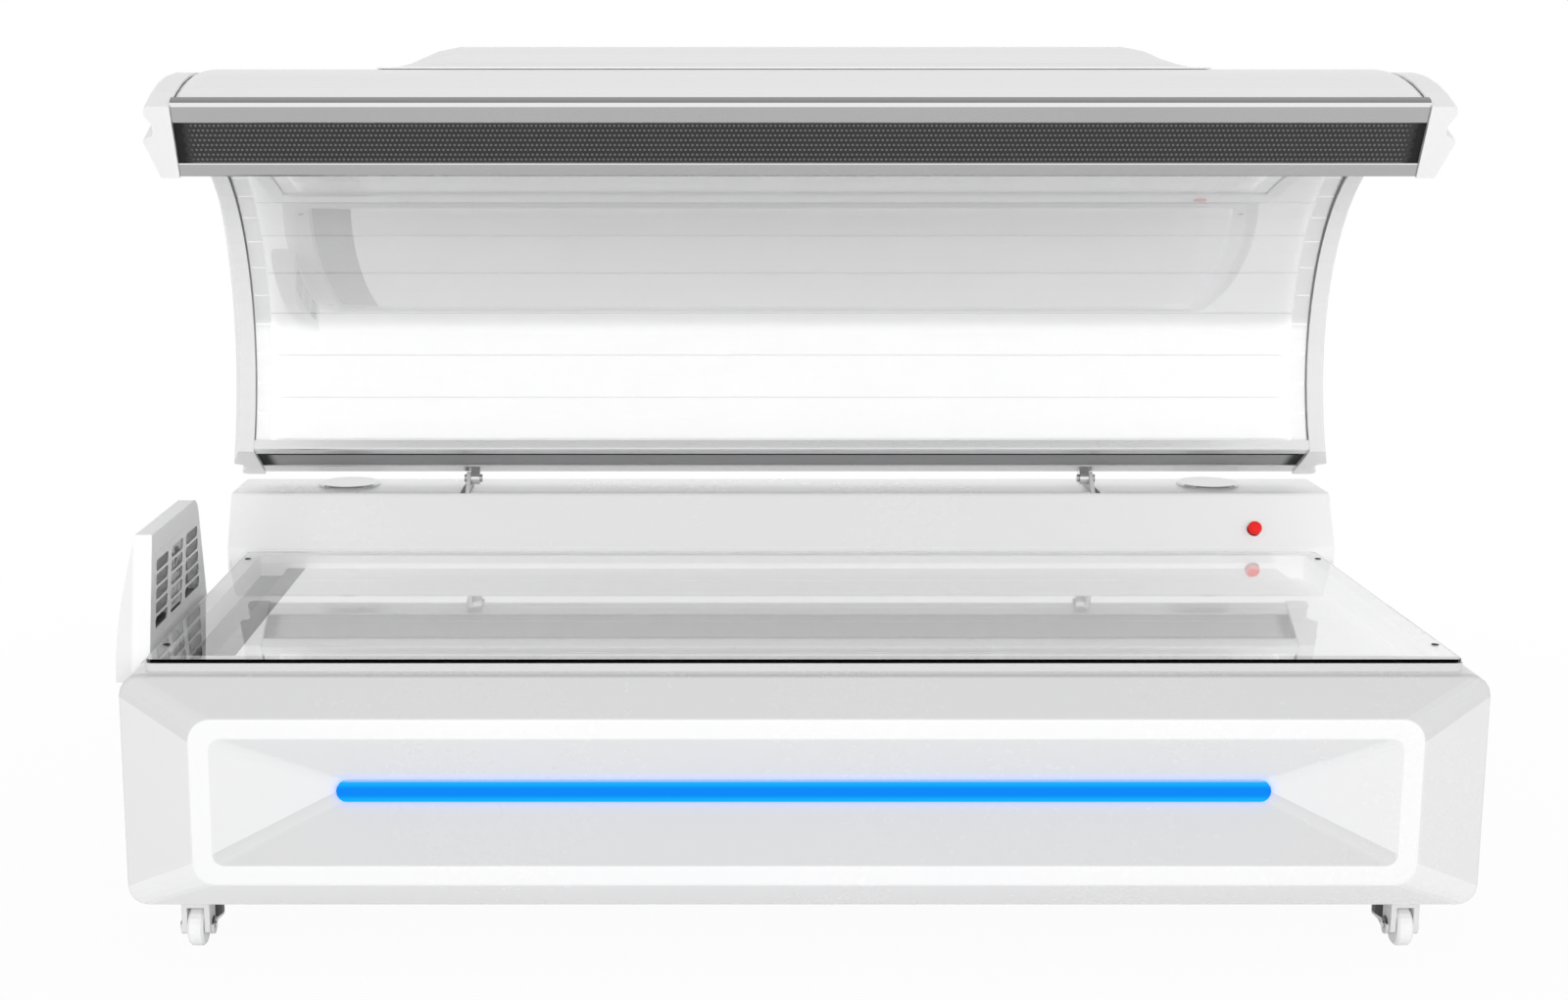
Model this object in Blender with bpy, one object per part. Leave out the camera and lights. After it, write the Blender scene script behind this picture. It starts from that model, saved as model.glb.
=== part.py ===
"""Red light therapy bed: a base on four casters with a canopy hinged along its rear edge.

Metres, +Z up, front facing -Y. The pieces are laid out from the middle of the base (x = 0),
its front edge (y = 0) and the floor (z = 0). The whole bed is then moved so that the origin
lies on the floor under the middle of its bounds. The canopy stands open, as at rest.
"""

from math import acos, atan2, ceil, cos, hypot, pi, radians, sin, tan

import bmesh
import bpy
from mathutils import Vector

# Gap left between pieces that seat on each other
CLEARANCE = 0.0003

# Base cover
BASE_LENGTH = 2.198
BASE_DEPTH = 1.120
BASE_HEIGHT = 0.3843
BASE_CORNER = 0.032
COVER_WALL = 0.004
COVER_REAR_EASE = 0.008

# Front panel: a sloped surround, a flat ring and a hip-shaped recess
PANEL_RIM = 0.020
PANEL_SKIN = 0.004
PANEL_EASE = 0.005
RING_REACH = 0.057
RING_END_MARGIN = 0.121
RING_EDGE_MARGIN = 0.055
RING_CORNER = 0.037
RING_WIDTH = 0.0316
RING_INNER_CORNER = 0.020
RECESS_DEPTH = 0.065
STRIP_LENGTH = 1.510
STRIP_HEIGHT = 0.036
STRIP_THICKNESS = 0.008
STRIP_EASE = 0.002

# Light tray, its boards and the lying sheet
TRAY_INSET = 0.0355
TRAY_FRONT = 0.028
TRAY_REAR_GAP = 0.009
FLANGE_WIDTH = 0.032
FLANGE_THICKNESS = 0.0137
FLANGE_CORNER = 0.012
TRAY_WALL = 0.003
TRAY_DEPTH = 0.0447
BOARD_HEIGHT = 0.0197
BOARD_SHEET = 0.006
BOARD_END_GAP = 0.055
BOARD_SIDE_GAP = 0.006
BOARD_ROWS = 7
BOARD_SEAM = 0.003
SHEET_THICKNESS = 0.006
SHEET_INSET = 0.002

# Rear box
BOX_REAR_GAP = 0.007
BOX_DEPTH = 0.228
BOX_HEIGHT = 0.127
BOX_STEP = 0.026
BOX_SETBACK = 0.057
BOX_OVERHANG = 0.0065
BOX_SKIRT = 0.045
BOX_WALL = 0.003
BOX_ROUND = 0.012
BOX_END_EASE = 0.005
WELL_MARGIN = 0.027
DISC_RADIUS = 0.0625
DISC_HEIGHT = 0.006
DISC_END_INSET = 0.219
DISC_SETBACK = 0.082

# Stop button on the sloped front of the rear box
BUTTON_END_INSET = 0.153
BUTTON_RISE = 0.038
BUTTON_RADIUS = 0.0135
BUTTON_CROWN = 0.008
BUTTON_TRAVEL = 0.004
BUTTON_STEM = 0.0085
COLLAR_HEIGHT = 0.003
COLLAR_WALL = 0.003
COLLAR_LIP = 0.0032
COLLAR_TAIL = 0.010

# Hinge
HINGE_SPACING = 1.252
HINGE_PLATE = 0.008
HINGE_PLATE_DEPTH = 0.120
HINGE_PLATE_FRONT = 0.040
HINGE_PLATE_DROP = 0.143
HINGE_KNUCKLE = 0.013
PIVOT_RISE = 0.022
PIVOT_SETBACK = 0.128
PIVOT_OFFSET = 0.0225
PIVOT_INSET = 0.0296
PIN_RADIUS = 0.005
PIN_HEAD_RADIUS = 0.008
PIN_HEAD = 0.0045
LUG_WIDTH = 0.018
LUG_FOOT = 0.030
SLOT_INNER_GAP = 0.0015
SLOT_OUTER_GAP = 0.011
SLOT_DEPTH = 0.040

# Vent housing on the left end
VENT_FRONT = 0.130
VENT_LENGTH = 0.437
VENT_TOP_LENGTH = 0.336
VENT_HEIGHT = 0.2043
VENT_DROP = 0.0457
VENT_TOP_INSET = 0.005
VENT_BULGE = 0.042
VENT_TOP_THICKNESS = 0.0285
VENT_FOOT_INSET = 0.021
VENT_CORNER = 0.045
VENT_EDGE = 0.003

# Vent grille and fan
GRILLE_THICKNESS = 0.003
GRILLE_MARGIN = 0.014
GRILLE_COLUMNS = 3
GRILLE_ROWS = 5
GRILLE_FOOT = 0.037
SLOT_FRONT = 0.036
SLOT_LENGTH = 0.0865
SLOT_HEIGHT = 0.0195
SLOT_CORNER = 0.005
SLOT_SLANT = 0.26
COLUMN_GAP = 0.0225
ROW_GAP = 0.0049
FAN_SIZE = 0.110
FAN_DEPTH = 0.020
FAN_BORE = 0.051
FAN_HUB = 0.0185
FAN_BACK = 0.003
FAN_TIP_GAP = 0.002
FAN_BLADES = 7
FAN_TWIST = radians(28)

# Chassis inside the base
BAR = 0.030
BAR_STEP = 0.001
CHASSIS_END_INSET = 0.063
CHASSIS_FRONT = 0.055
CHASSIS_REAR_INSET = 0.060
CROSS_BAR_X = 0.450
MID_BAR_INSET = 0.070
SUPPLY_LENGTH = 0.300
SUPPLY_DEPTH = 0.120
SUPPLY_HEIGHT = 0.070
CONTROL_LENGTH = 0.240
CONTROL_DEPTH = 0.180
CONTROL_HEIGHT = 0.090
REAR_PANEL_LENGTH = 1.560
REAR_PANEL_HEIGHT = 0.270
REAR_PANEL_THICKNESS = 0.0025
REAR_PANEL_LAP = 0.020
GLAND_RADIUS = 0.010
GLAND_X = -0.600
GLAND_REACH = 0.008

# Casters
CASTER_END_INSET = 0.094
CASTER_FRONT = 0.126
CASTER_REAR_INSET = 0.085
CASTER_TRAIL = 0.040
WHEEL_RADIUS = 0.034
WHEEL_WIDTH = 0.026
WHEEL_EASE = 0.004
WHEEL_FACETS = 24
WHEEL_SIDE_GAP = 0.00125
WHEEL_TOP_GAP = 0.004
FORK_CHEEK = 0.009
FORK_CROWN = 0.012
FORK_LOBE = 0.0150
FORK_LOBE_PROUD = 0.004
FORK_SHOULDER = 0.008
HOOD_FRONT = 0.024
HOOD_LOW = 0.030
BELL_RADIUS = 0.034
BELL_Z = 0.026
BELL_TAPER = 0.012
BELL_ROUND = 0.006
BOSS_RADIUS = 0.020
BOSS_HEIGHT = 0.0058
RACE_RADIUS = 0.022
RACE_HEIGHT = 0.006
CASTER_PLATE = 0.060
CASTER_PLATE_THICKNESS = 0.005
KINGPIN_RADIUS = 0.005
AXLE_RADIUS = 0.004
AXLE_HEAD_RADIUS = 0.0065
AXLE_HEAD = 0.0025

# Canopy: a ring sector about an axis along X, angles from +Y toward +Z
CANOPY_RADIUS = 0.5436
CANOPY_INSET = 0.051
REAR_ANGLE = radians(-28.5)
FRONT_ANGLE = radians(116.4)
SHELL_WALL = 0.004
SHELL_END_GAP = 0.0015
SHELL_ROLL = 0.0285
SHELL_ROLL_DROP = 0.010
ARC_STEPS = 34

# Canopy end caps, from the inner edge outward
CAP_LIP = 0.0312
CAP_CREST = 0.0532
CAP_GROOVE = 0.0332
CAP_ROLL = 0.0442
CAP_FLANK_RISE = 0.0720
CAP_STEP_RISE = 0.0093
CAP_GROOVE_RISE = 0.0187
CAP_OUT_RISE = 0.0170
CAP_ROLL_RISE = 0.0175
CAP_TOP_DROP = 0.0051
CAP_WALL = 0.004
CAP_OVERHANG = 0.004
CAP_STEPS = 24
CAP_ROUNDS = (0.004, 0.005, 0.007, 0.012, 0.008, 0.010)

# Canopy end profiles, mesh bands, sheet and lights
PROFILE_HEIGHT = 0.0386
PROFILE_PROUD = 0.0009
PROFILE_LIP = 0.018
PROFILE_DEPTH = 0.030
PROFILE_ROUND = 0.0085
PROFILE_EASE = 0.002
INNER_PROFILE_HEIGHT = 0.026
INNER_PROFILE_DEPTH = 0.020
GLAZING_GROOVE = 0.010
GLAZING_CLEARANCE = 0.0008
MESH_RECESS = 0.004
MESH_THICKNESS = 0.002
GLAZING_SETBACK = 0.009
GLAZING_THICKNESS = 0.005
LIGHT_SETBACK = 0.014
LIGHT_THICKNESS = 0.006
LIGHT_END_GAP = 0.010
LIGHT_PITCH = radians(11.3)
LIGHT_FIRST = radians(5.1)
LIGHT_SEAM = 0.003
SIDE_LIGHT_WIDTH = 0.031
SIDE_LIGHT_GAP = 0.0005
SIDE_LIGHT_THICKNESS = 0.0097
SIDE_LIGHT_PITCH = radians(8.1)
RIB_THICKNESS = 0.006
DRIVER_LENGTH = 0.320
DRIVER_DEPTH = 0.080
DRIVER_HEIGHT = 0.055
DRIVER_X = 0.150

# Canopy hump
HUMP_HALF_LENGTH = 0.735
HUMP_END_SLOPE = 0.135
HUMP_HEIGHT = 0.0534
HUMP_REAR = radians(25.5)
HUMP_FRONT = radians(25.4)
HUMP_SLOPE = radians(13)
HUMP_WALL = 0.003
HUMP_RIM = 0.003
HUMP_STEP = radians(5.4)

# Sizes that follow from the ones above
HALF = BASE_LENGTH / 2
AXLE_Z = WHEEL_RADIUS * cos(pi / WHEEL_FACETS)
CROWN_Z = 2 * WHEEL_RADIUS + WHEEL_TOP_GAP
BOSS_Z = CROWN_Z + FORK_CROWN
RACE_Z = BOSS_Z + BOSS_HEIGHT + CLEARANCE
PLATE_Z = RACE_Z + RACE_HEIGHT
BASE_Z = PLATE_Z + CASTER_PLATE_THICKNESS + CLEARANCE
BASE_TOP = BASE_Z + BASE_HEIGHT
BASE_MID = BASE_Z + BASE_HEIGHT / 2
FLANGE_Z = BASE_TOP + CLEARANCE
FLANGE_TOP = FLANGE_Z + FLANGE_THICKNESS
TRAY_FLOOR = FLANGE_TOP - TRAY_DEPTH
BOX_Z = BASE_TOP + CLEARANCE
BOX_TOP = BOX_Z + BOX_HEIGHT
BOX_REAR = BASE_DEPTH - BOX_REAR_GAP
BOX_FRONT = BOX_REAR - BOX_DEPTH
TRAY_REAR = BOX_FRONT - TRAY_REAR_GAP
CHASSIS_Z = BASE_Z + COVER_WALL + CLEARANCE
CHASSIS_REAR = BASE_DEPTH - CHASSIS_REAR_INSET
CHASSIS_HALF = HALF - CHASSIS_END_INSET
BAR_TOP = CHASSIS_Z + BAR
PIVOT_Y = BOX_REAR - PIVOT_SETBACK
PIVOT_Z = BOX_TOP + PIVOT_RISE
PLATE_INNER = HINGE_SPACING / 2
PLATE_OUTER = PLATE_INNER + HINGE_PLATE
CANOPY_HALF = HALF - CANOPY_INSET
CAP_TOP = CAP_FLANK_RISE + CAP_STEP_RISE + CAP_GROOVE_RISE + CAP_OUT_RISE + CAP_ROLL_RISE
INNER_RADIUS = CANOPY_RADIUS - CAP_TOP_DROP - CAP_TOP
SHELL_INNER = CANOPY_RADIUS - SHELL_WALL
GLAZING_IN = INNER_RADIUS + GLAZING_SETBACK
GLAZING_OUT = GLAZING_IN + GLAZING_THICKNESS
LIGHT_IN = GLAZING_OUT + LIGHT_SETBACK
LIGHT_OUT = LIGHT_IN + LIGHT_THICKNESS
PROFILE_IN = CANOPY_RADIUS - PROFILE_HEIGHT
PROFILE_OUT = CANOPY_RADIUS + PROFILE_PROUD
PROFILE_TONGUE = SHELL_INNER - SHELL_ROLL_DROP - 2 * CLEARANCE
INNER_PROFILE_OUT = INNER_RADIUS + INNER_PROFILE_HEIGHT
PIVOT_RADIUS = CANOPY_RADIUS - PIVOT_INSET
CENTRE_Y = -PIVOT_RADIUS * cos(REAR_ANGLE) - PIVOT_OFFSET * sin(REAR_ANGLE)
CENTRE_Z = -PIVOT_RADIUS * sin(REAR_ANGLE) + PIVOT_OFFSET * cos(REAR_ANGLE)
SLOPE_RUN = BOX_SETBACK
SLOPE_RISE = BOX_HEIGHT - BOX_STEP
VENT_LEAN = atan2(VENT_TOP_INSET + VENT_TOP_THICKNESS - VENT_FOOT_INSET, VENT_HEIGHT)

# Finishes: colour, roughness, metallic
WHITE = ((0.84, 0.84, 0.85), 0.25, 0.0)
PALE_GREY = ((0.66, 0.67, 0.69), 0.35, 0.0)
LIGHT_WHITE = ((0.90, 0.90, 0.90), 0.50, 0.0)
BLUE_LIGHT = ((0.05, 0.30, 0.95), 0.30, 0.0)
CLEAR = ((0.86, 0.90, 0.92), 0.05, 0.0)
ALUMINIUM = ((0.70, 0.71, 0.73), 0.32, 1.0)
STEEL = ((0.55, 0.56, 0.58), 0.28, 1.0)
DARK_STEEL = ((0.10, 0.10, 0.11), 0.45, 0.8)
BLACK_MESH = ((0.02, 0.02, 0.022), 0.50, 0.2)
RED = ((0.75, 0.03, 0.03), 0.30, 0.0)
BLACK = ((0.03, 0.03, 0.03), 0.55, 0.0)
TYRE_GREY = ((0.52, 0.53, 0.55), 0.60, 0.0)


def make_material(name, finish):
    colour, roughness, metallic = finish
    material = bpy.data.materials.new(name)
    material.use_nodes = True
    shader = material.node_tree.nodes["Principled BSDF"]
    shader.inputs["Base Color"].default_value = (*colour, 1.0)
    shader.inputs["Roughness"].default_value = roughness
    shader.inputs["Metallic"].default_value = metallic
    material.diffuse_color = (*colour, 1.0)
    return material


def add_empty(name, parent=None, location=(0, 0, 0), rotation=(0, 0, 0)):
    empty = bpy.data.objects.new(name, None)
    empty.parent = parent
    empty.location = location
    empty.rotation_euler = rotation
    bpy.context.scene.collection.objects.link(empty)
    return empty


def place(name, mesh, parent, location=(0, 0, 0), rotation=(0, 0, 0)):
    item = bpy.data.objects.new(name, mesh)
    item.parent = parent
    item.location = location
    item.rotation_euler = rotation
    bpy.context.scene.collection.objects.link(item)
    return item


def as_mesh(name, bm):
    bmesh.ops.recalc_face_normals(bm, faces=bm.faces)
    if bm.calc_volume(signed=True) < 0:
        bmesh.ops.reverse_faces(bm, faces=bm.faces)
    mesh = bpy.data.meshes.new(name)
    bm.to_mesh(mesh)
    bm.free()
    mesh.shade_smooth()
    mesh.set_sharp_from_angle(angle=radians(32))
    return mesh


def add_piece(name, bm, finish, parent, location=(0, 0, 0), rotation=(0, 0, 0)):
    mesh = as_mesh(name, bm)
    mesh.materials.append(make_material(name, finish))
    return place(name, mesh, parent, location, rotation)


def add_copy(name, pattern, finish, parent, location=(0, 0, 0)):
    """A repeated piece: its own object and finish, shaped as the pattern evaluates."""
    graph = bpy.context.evaluated_depsgraph_get()
    mesh = bpy.data.meshes.new_from_object(pattern.evaluated_get(graph), depsgraph=graph)
    mesh.materials.clear()
    mesh.materials.append(make_material(name, finish))
    return place(name, mesh, parent, location)


def guide(item):
    item.hide_render = True
    item.display_type = "WIRE"
    return item


def combine(item, bm, operation="DIFFERENCE", parent=None, location=(0, 0, 0), rotation=(0, 0, 0)):
    """Cut, join or intersect an object with a hidden tool solid."""
    name = f"{item.name}_tool_{len(item.modifiers)}"
    tool = guide(place(name, as_mesh(name, bm), parent or item.parent, location, rotation))
    modifier = item.modifiers.new(operation.title(), "BOOLEAN")
    modifier.operation = operation
    modifier.object = tool


def round_edges(item, width, segments=2, angle=radians(40)):
    modifier = item.modifiers.new("Rounded edges", "BEVEL")
    modifier.width = width
    modifier.segments = segments
    modifier.limit_method = "ANGLE"
    modifier.angle_limit = angle


def box(low, high):
    bm = bmesh.new()
    bmesh.ops.create_cube(bm, size=1)
    size = [b - a for a, b in zip(low, high)]
    bmesh.ops.scale(bm, vec=size, verts=bm.verts)
    bmesh.ops.translate(bm, vec=[(a + b) / 2 for a, b in zip(low, high)], verts=bm.verts)
    return bm


def along(axis, distance, u, v):
    """A point of an outline (u, v) drawn across X as (y, z), across Y as (x, z), across Z as (x, y)."""
    return {"X": (distance, u, v), "Y": (u, distance, v), "Z": (u, v, distance)}[axis]


def prism(outline, axis, start, end):
    bm = bmesh.new()
    face = bm.faces.new([bm.verts.new(along(axis, start, u, v)) for u, v in outline])
    swept = bmesh.ops.extrude_face_region(bm, geom=[face])
    verts = [item for item in swept["geom"] if isinstance(item, bmesh.types.BMVert)]
    bmesh.ops.translate(bm, vec=along(axis, end - start, 0, 0), verts=verts)
    return bm


def loft(loops, caps=(True, True)):
    """A skin through loops that have the same number of points."""
    bm = bmesh.new()
    rings = [[bm.verts.new(point) for point in loop] for loop in loops]
    for near, far in zip(rings, rings[1:]):
        for i in range(len(near)):
            bm.faces.new((near[i - 1], near[i], far[i], far[i - 1]))
    if caps[0]:
        bm.faces.new(rings[0])
    if caps[1]:
        bm.faces.new(rings[-1])
    return bm


def eased(loops, reaches):
    """Round the creases of a loft: a loop with a reach becomes a curve of three loops."""
    result = []
    for i, (loop, reach) in enumerate(zip(loops, reaches)):
        if not reach:
            result.append(loop)
            continue
        curve = ([], [], [])
        for before, point, after in zip(loops[i - 1], loop, loops[i + 1]):
            corner = Vector(point)
            first = corner + (Vector(before) - corner).normalized() * reach
            last = corner + (Vector(after) - corner).normalized() * reach
            for ring, spot in zip(curve, (first, first / 4 + corner / 2 + last / 4, last)):
                ring.append(spot)
        result.extend(curve)
    return result


def lathe(profile, steps, axis="Z", turn=0.0):
    """Turn a profile of (radius, height) points; it ends on the axis or closes on itself."""
    bm = bmesh.new()
    verts = [bm.verts.new((radius * cos(turn), radius * sin(turn), height)) for radius, height in profile]
    edges = [bm.edges.new(pair) for pair in zip(verts, verts[1:])]
    if profile[0][0] > 0:
        edges.append(bm.edges.new((verts[-1], verts[0])))
    bmesh.ops.spin(bm, geom=verts + edges, cent=(0, 0, 0), axis=(0, 0, 1), angle=2 * pi, steps=steps)
    bmesh.ops.remove_doubles(bm, verts=bm.verts, dist=1e-6)
    if axis == "X":
        for vert in bm.verts:
            x, y, z = vert.co
            vert.co = (z, x, y)
    return bm


def circle(radius, steps, centre=(0, 0), turn=0.0):
    angles = [turn + 2 * pi * i / steps for i in range(steps)]
    return [(centre[0] + radius * cos(a), centre[1] + radius * sin(a)) for a in angles]


def rounded_rectangle(half_width, half_height, radius, centre=(0, 0), steps=5):
    points = []
    for corner, (side, level) in enumerate(((1, 1), (-1, 1), (-1, -1), (1, -1))):
        middle_u = centre[0] + side * (half_width - radius)
        middle_v = centre[1] + level * (half_height - radius)
        for step in range(steps + 1):
            angle = pi / 2 * (corner + step / steps)
            points.append((middle_u + radius * cos(angle), middle_v + radius * sin(angle)))
    return points


def fillet(corners, radii, steps=3):
    """Round the corners of a polygon, each limited by the sides that meet there."""
    points = []
    for i, ((u, v), radius) in enumerate(zip(corners, radii)):
        if not radius:
            points.append((u, v))
            continue
        here = Vector((u, v))
        back = Vector(corners[i - 1]) - here
        ahead = Vector(corners[(i + 1) % len(corners)]) - here
        half = back.angle(ahead) / 2
        reach = min(radius / tan(half), 0.48 * back.length, 0.48 * ahead.length)
        radius = reach * tan(half)
        centre = here + (back.normalized() + ahead.normalized()).normalized() * radius / sin(half)
        first = here + back.normalized() * reach - centre
        last = here + ahead.normalized() * reach - centre
        start = atan2(first.y, first.x)
        sweep = (atan2(last.y, last.x) - start + pi) % (2 * pi) - pi
        for step in range(steps + 1):
            angle = start + sweep * step / steps
            points.append((centre.x + radius * cos(angle), centre.y + radius * sin(angle)))
    return points


def offset_polygon(points, distance):
    """Move the sides of a counter-clockwise polygon inward by a distance."""
    moved = []
    for i, point in enumerate(points):
        here = Vector(point)
        back = (here - Vector(points[i - 1])).normalized()
        ahead = (Vector(points[(i + 1) % len(points)]) - here).normalized()
        normal_back = Vector((-back.y, back.x))
        normal_ahead = Vector((-ahead.y, ahead.x))
        mitre = (normal_back + normal_ahead).normalized()
        spot = here + mitre * distance / mitre.dot(normal_ahead)
        moved.append((spot.x, spot.y))
    return moved


def hull(points):
    """Convex outline round points, counter-clockwise."""
    ordered = sorted(set(points))
    chains = []
    for sequence in (ordered, ordered[::-1]):
        chain = []
        for u, v in sequence:
            while len(chain) > 1:
                (au, av), (bu, bv) = chain[-2:]
                if (bu - au) * (v - av) - (bv - av) * (u - au) > 1e-12:
                    break
                chain.pop()
            chain.append((u, v))
        chains.extend(chain[:-1])
    return chains


def polar(radius, angle):
    """A point (y, z) of the canopy, seen from its hinge axis."""
    return CENTRE_Y + radius * cos(angle), CENTRE_Z + radius * sin(angle)


def end_point(radius, depth, front):
    """A point at a depth behind the canopy's front or rear end face."""
    if front:
        return polar(radius, FRONT_ANGLE - depth / radius)
    return polar(radius, REAR_ANGLE + depth / radius)


def sweep(section, start, end, steps):
    """Turn a closed section of (x, radius) points about the canopy's axis."""
    bm = bmesh.new()
    face = bm.faces.new([bm.verts.new((x, *polar(radius, start))) for x, radius in section])
    centre = (0, CENTRE_Y, CENTRE_Z)
    bmesh.ops.spin(bm, geom=[face], cent=centre, axis=(1, 0, 0), angle=end - start, steps=steps)
    return bm


def seamed_arc(inner, outer, start, end, seams, seam_width, seam_depth):
    """Section (y, z) of curved boards, with a groove in the inner side at each seam."""
    half_step = radians(3)
    steps = ceil((end - start) / (2 * half_step))
    points = [polar(outer, start + (end - start) * i / steps) for i in range(steps + 1)]
    edges = [end]
    for seam in sorted(seams, reverse=True):
        edges += [seam + seam_width / inner / 2, seam - seam_width / inner / 2]
    edges.append(start)
    face_radius = inner / cos(half_step)
    for first, last in zip(edges[::2], edges[1::2]):
        count = max(1, ceil((first - last) / (2 * half_step)))
        run = [first + (last - first) * i / count for i in range(count + 1)]
        if first != end:
            points.append(polar(face_radius + seam_depth, first))
        points += [polar(face_radius, angle) for angle in run]
        if last != start:
            points.append(polar(face_radius + seam_depth, last))
    return points


def smooth(value):
    value = min(1.0, max(0.0, value))
    return value * value * (3 - 2 * value)


for item in list(bpy.data.objects):
    bpy.data.objects.remove(item, do_unlink=True)

bed = add_empty("bed")
canopy = add_empty("canopy_pivot", bed, (0, PIVOT_Y, PIVOT_Z))
box_face = add_empty("button_axis", bed)
vent_face = add_empty("vent_face", bed)


# Base cover: one moulding, open to the front panel, the tray, the rear box and the rear panel
def base_outline(inset, y):
    half_width = HALF - inset
    half_height = BASE_HEIGHT / 2 - inset
    corner = BASE_CORNER - inset
    return [(x, y, z) for x, z in rounded_rectangle(half_width, half_height, corner, (0, BASE_MID))]


cover_start = PANEL_RIM + CLEARANCE
outer = eased(
    [base_outline(0, cover_start), base_outline(0, BASE_DEPTH), base_outline(BASE_CORNER / 2, BASE_DEPTH)],
    (0, COVER_REAR_EASE, 0),
)
base_cover = add_piece("base_cover", loft(outer), WHITE, bed)
inside = [base_outline(COVER_WALL, 0), base_outline(COVER_WALL, BASE_DEPTH - COVER_WALL)]
combine(base_cover, loft(inside))
tray_half = HALF - TRAY_INSET - FLANGE_WIDTH + TRAY_WALL
tray_front = TRAY_FRONT + FLANGE_WIDTH - TRAY_WALL
tray_rear = TRAY_REAR - FLANGE_WIDTH + TRAY_WALL
combine(
    base_cover,
    box(
        (-tray_half - CLEARANCE, tray_front - CLEARANCE, BASE_TOP - 2 * COVER_WALL),
        (tray_half + CLEARANCE, tray_rear + CLEARANCE, BASE_TOP + COVER_WALL),
    ),
)
box_half = HALF + BOX_OVERHANG
combine(
    base_cover,
    box(
        (WELL_MARGIN - HALF, BOX_FRONT + WELL_MARGIN, BASE_TOP - 2 * COVER_WALL),
        (HALF - WELL_MARGIN, BOX_REAR - WELL_MARGIN, BASE_TOP + COVER_WALL),
    ),
)
panel_half = REAR_PANEL_LENGTH / 2
panel_low = BASE_MID - REAR_PANEL_HEIGHT / 2
panel_high = BASE_MID + REAR_PANEL_HEIGHT / 2
combine(
    base_cover,
    box(
        (REAR_PANEL_LAP - panel_half, BASE_DEPTH - 2 * COVER_WALL, panel_low + REAR_PANEL_LAP),
        (panel_half - REAR_PANEL_LAP, BASE_DEPTH + COVER_WALL, panel_high - REAR_PANEL_LAP),
    ),
)


# Front panel: lofted loops from the rim over the ring down to the recess floor, then a skin
def panel_loop(half_width, half_height, corner, y):
    return [(x, y, z) for x, z in rounded_rectangle(half_width, half_height, corner, (0, BASE_MID), 4)]


ring_half = HALF - RING_END_MARGIN
ring_height = BASE_HEIGHT / 2 - RING_EDGE_MARGIN
recess_y = RECESS_DEPTH - RING_REACH
recess_half = STRIP_LENGTH / 2 + CLEARANCE
recess_height = STRIP_HEIGHT / 2 + CLEARANCE
panel_loops = [
    panel_loop(HALF, BASE_HEIGHT / 2, BASE_CORNER, PANEL_RIM),
    panel_loop(HALF, BASE_HEIGHT / 2, BASE_CORNER, 0),
    panel_loop(ring_half, ring_height, RING_CORNER, -RING_REACH),
    panel_loop(ring_half - RING_WIDTH, ring_height - RING_WIDTH, RING_INNER_CORNER, -RING_REACH),
    panel_loop(recess_half, recess_height, 0.9 * recess_height, recess_y),
]
panel_bm = loft(eased(panel_loops, (0, PANEL_EASE, PANEL_EASE, PANEL_EASE, 0)), (False, True))
front_panel = add_piece("front_panel", panel_bm, WHITE, bed)
skin = front_panel.modifiers.new("Skin", "SOLIDIFY")
skin.thickness = PANEL_SKIN
skin.offset = 1 if front_panel.data.polygons[-1].normal.y > 0 else -1
skin.use_even_offset = True

strip_front = recess_y - CLEARANCE - STRIP_THICKNESS
strip_corner = 0.98 * STRIP_HEIGHT / 2
strip_loops = [
    panel_loop(STRIP_LENGTH / 2, STRIP_HEIGHT / 2, strip_corner, recess_y - CLEARANCE),
    panel_loop(STRIP_LENGTH / 2, STRIP_HEIGHT / 2, strip_corner, strip_front),
    panel_loop(
        STRIP_LENGTH / 2 - 2 * STRIP_EASE,
        STRIP_HEIGHT / 2 - 2 * STRIP_EASE,
        strip_corner - 2 * STRIP_EASE,
        strip_front,
    ),
]
add_piece("light_strip", loft(eased(strip_loops, (0, STRIP_EASE, 0))), BLUE_LIGHT, bed)


# Light tray: a flange on the cover, walls and a floor; light boards; clear lying sheet
def tray_loop(inset, z, corner):
    half_width = HALF - TRAY_INSET - inset
    half_depth = (TRAY_REAR - TRAY_FRONT) / 2 - inset
    centre = (0, (TRAY_REAR + TRAY_FRONT) / 2)
    return [(x, y, z) for x, y in rounded_rectangle(half_width, half_depth, corner, centre, 4)]


tray_corner = FLANGE_CORNER / 3
tray_loops = [
    tray_loop(FLANGE_WIDTH, TRAY_FLOOR, tray_corner),
    tray_loop(FLANGE_WIDTH, FLANGE_TOP, tray_corner),
    tray_loop(0, FLANGE_TOP, FLANGE_CORNER),
    tray_loop(0, FLANGE_Z, FLANGE_CORNER),
    tray_loop(FLANGE_WIDTH - TRAY_WALL, FLANGE_Z, tray_corner + TRAY_WALL),
    tray_loop(FLANGE_WIDTH - TRAY_WALL, TRAY_FLOOR - TRAY_WALL, tray_corner + TRAY_WALL),
]
add_piece("led_tray", loft(tray_loops), PALE_GREY, bed)

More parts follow.
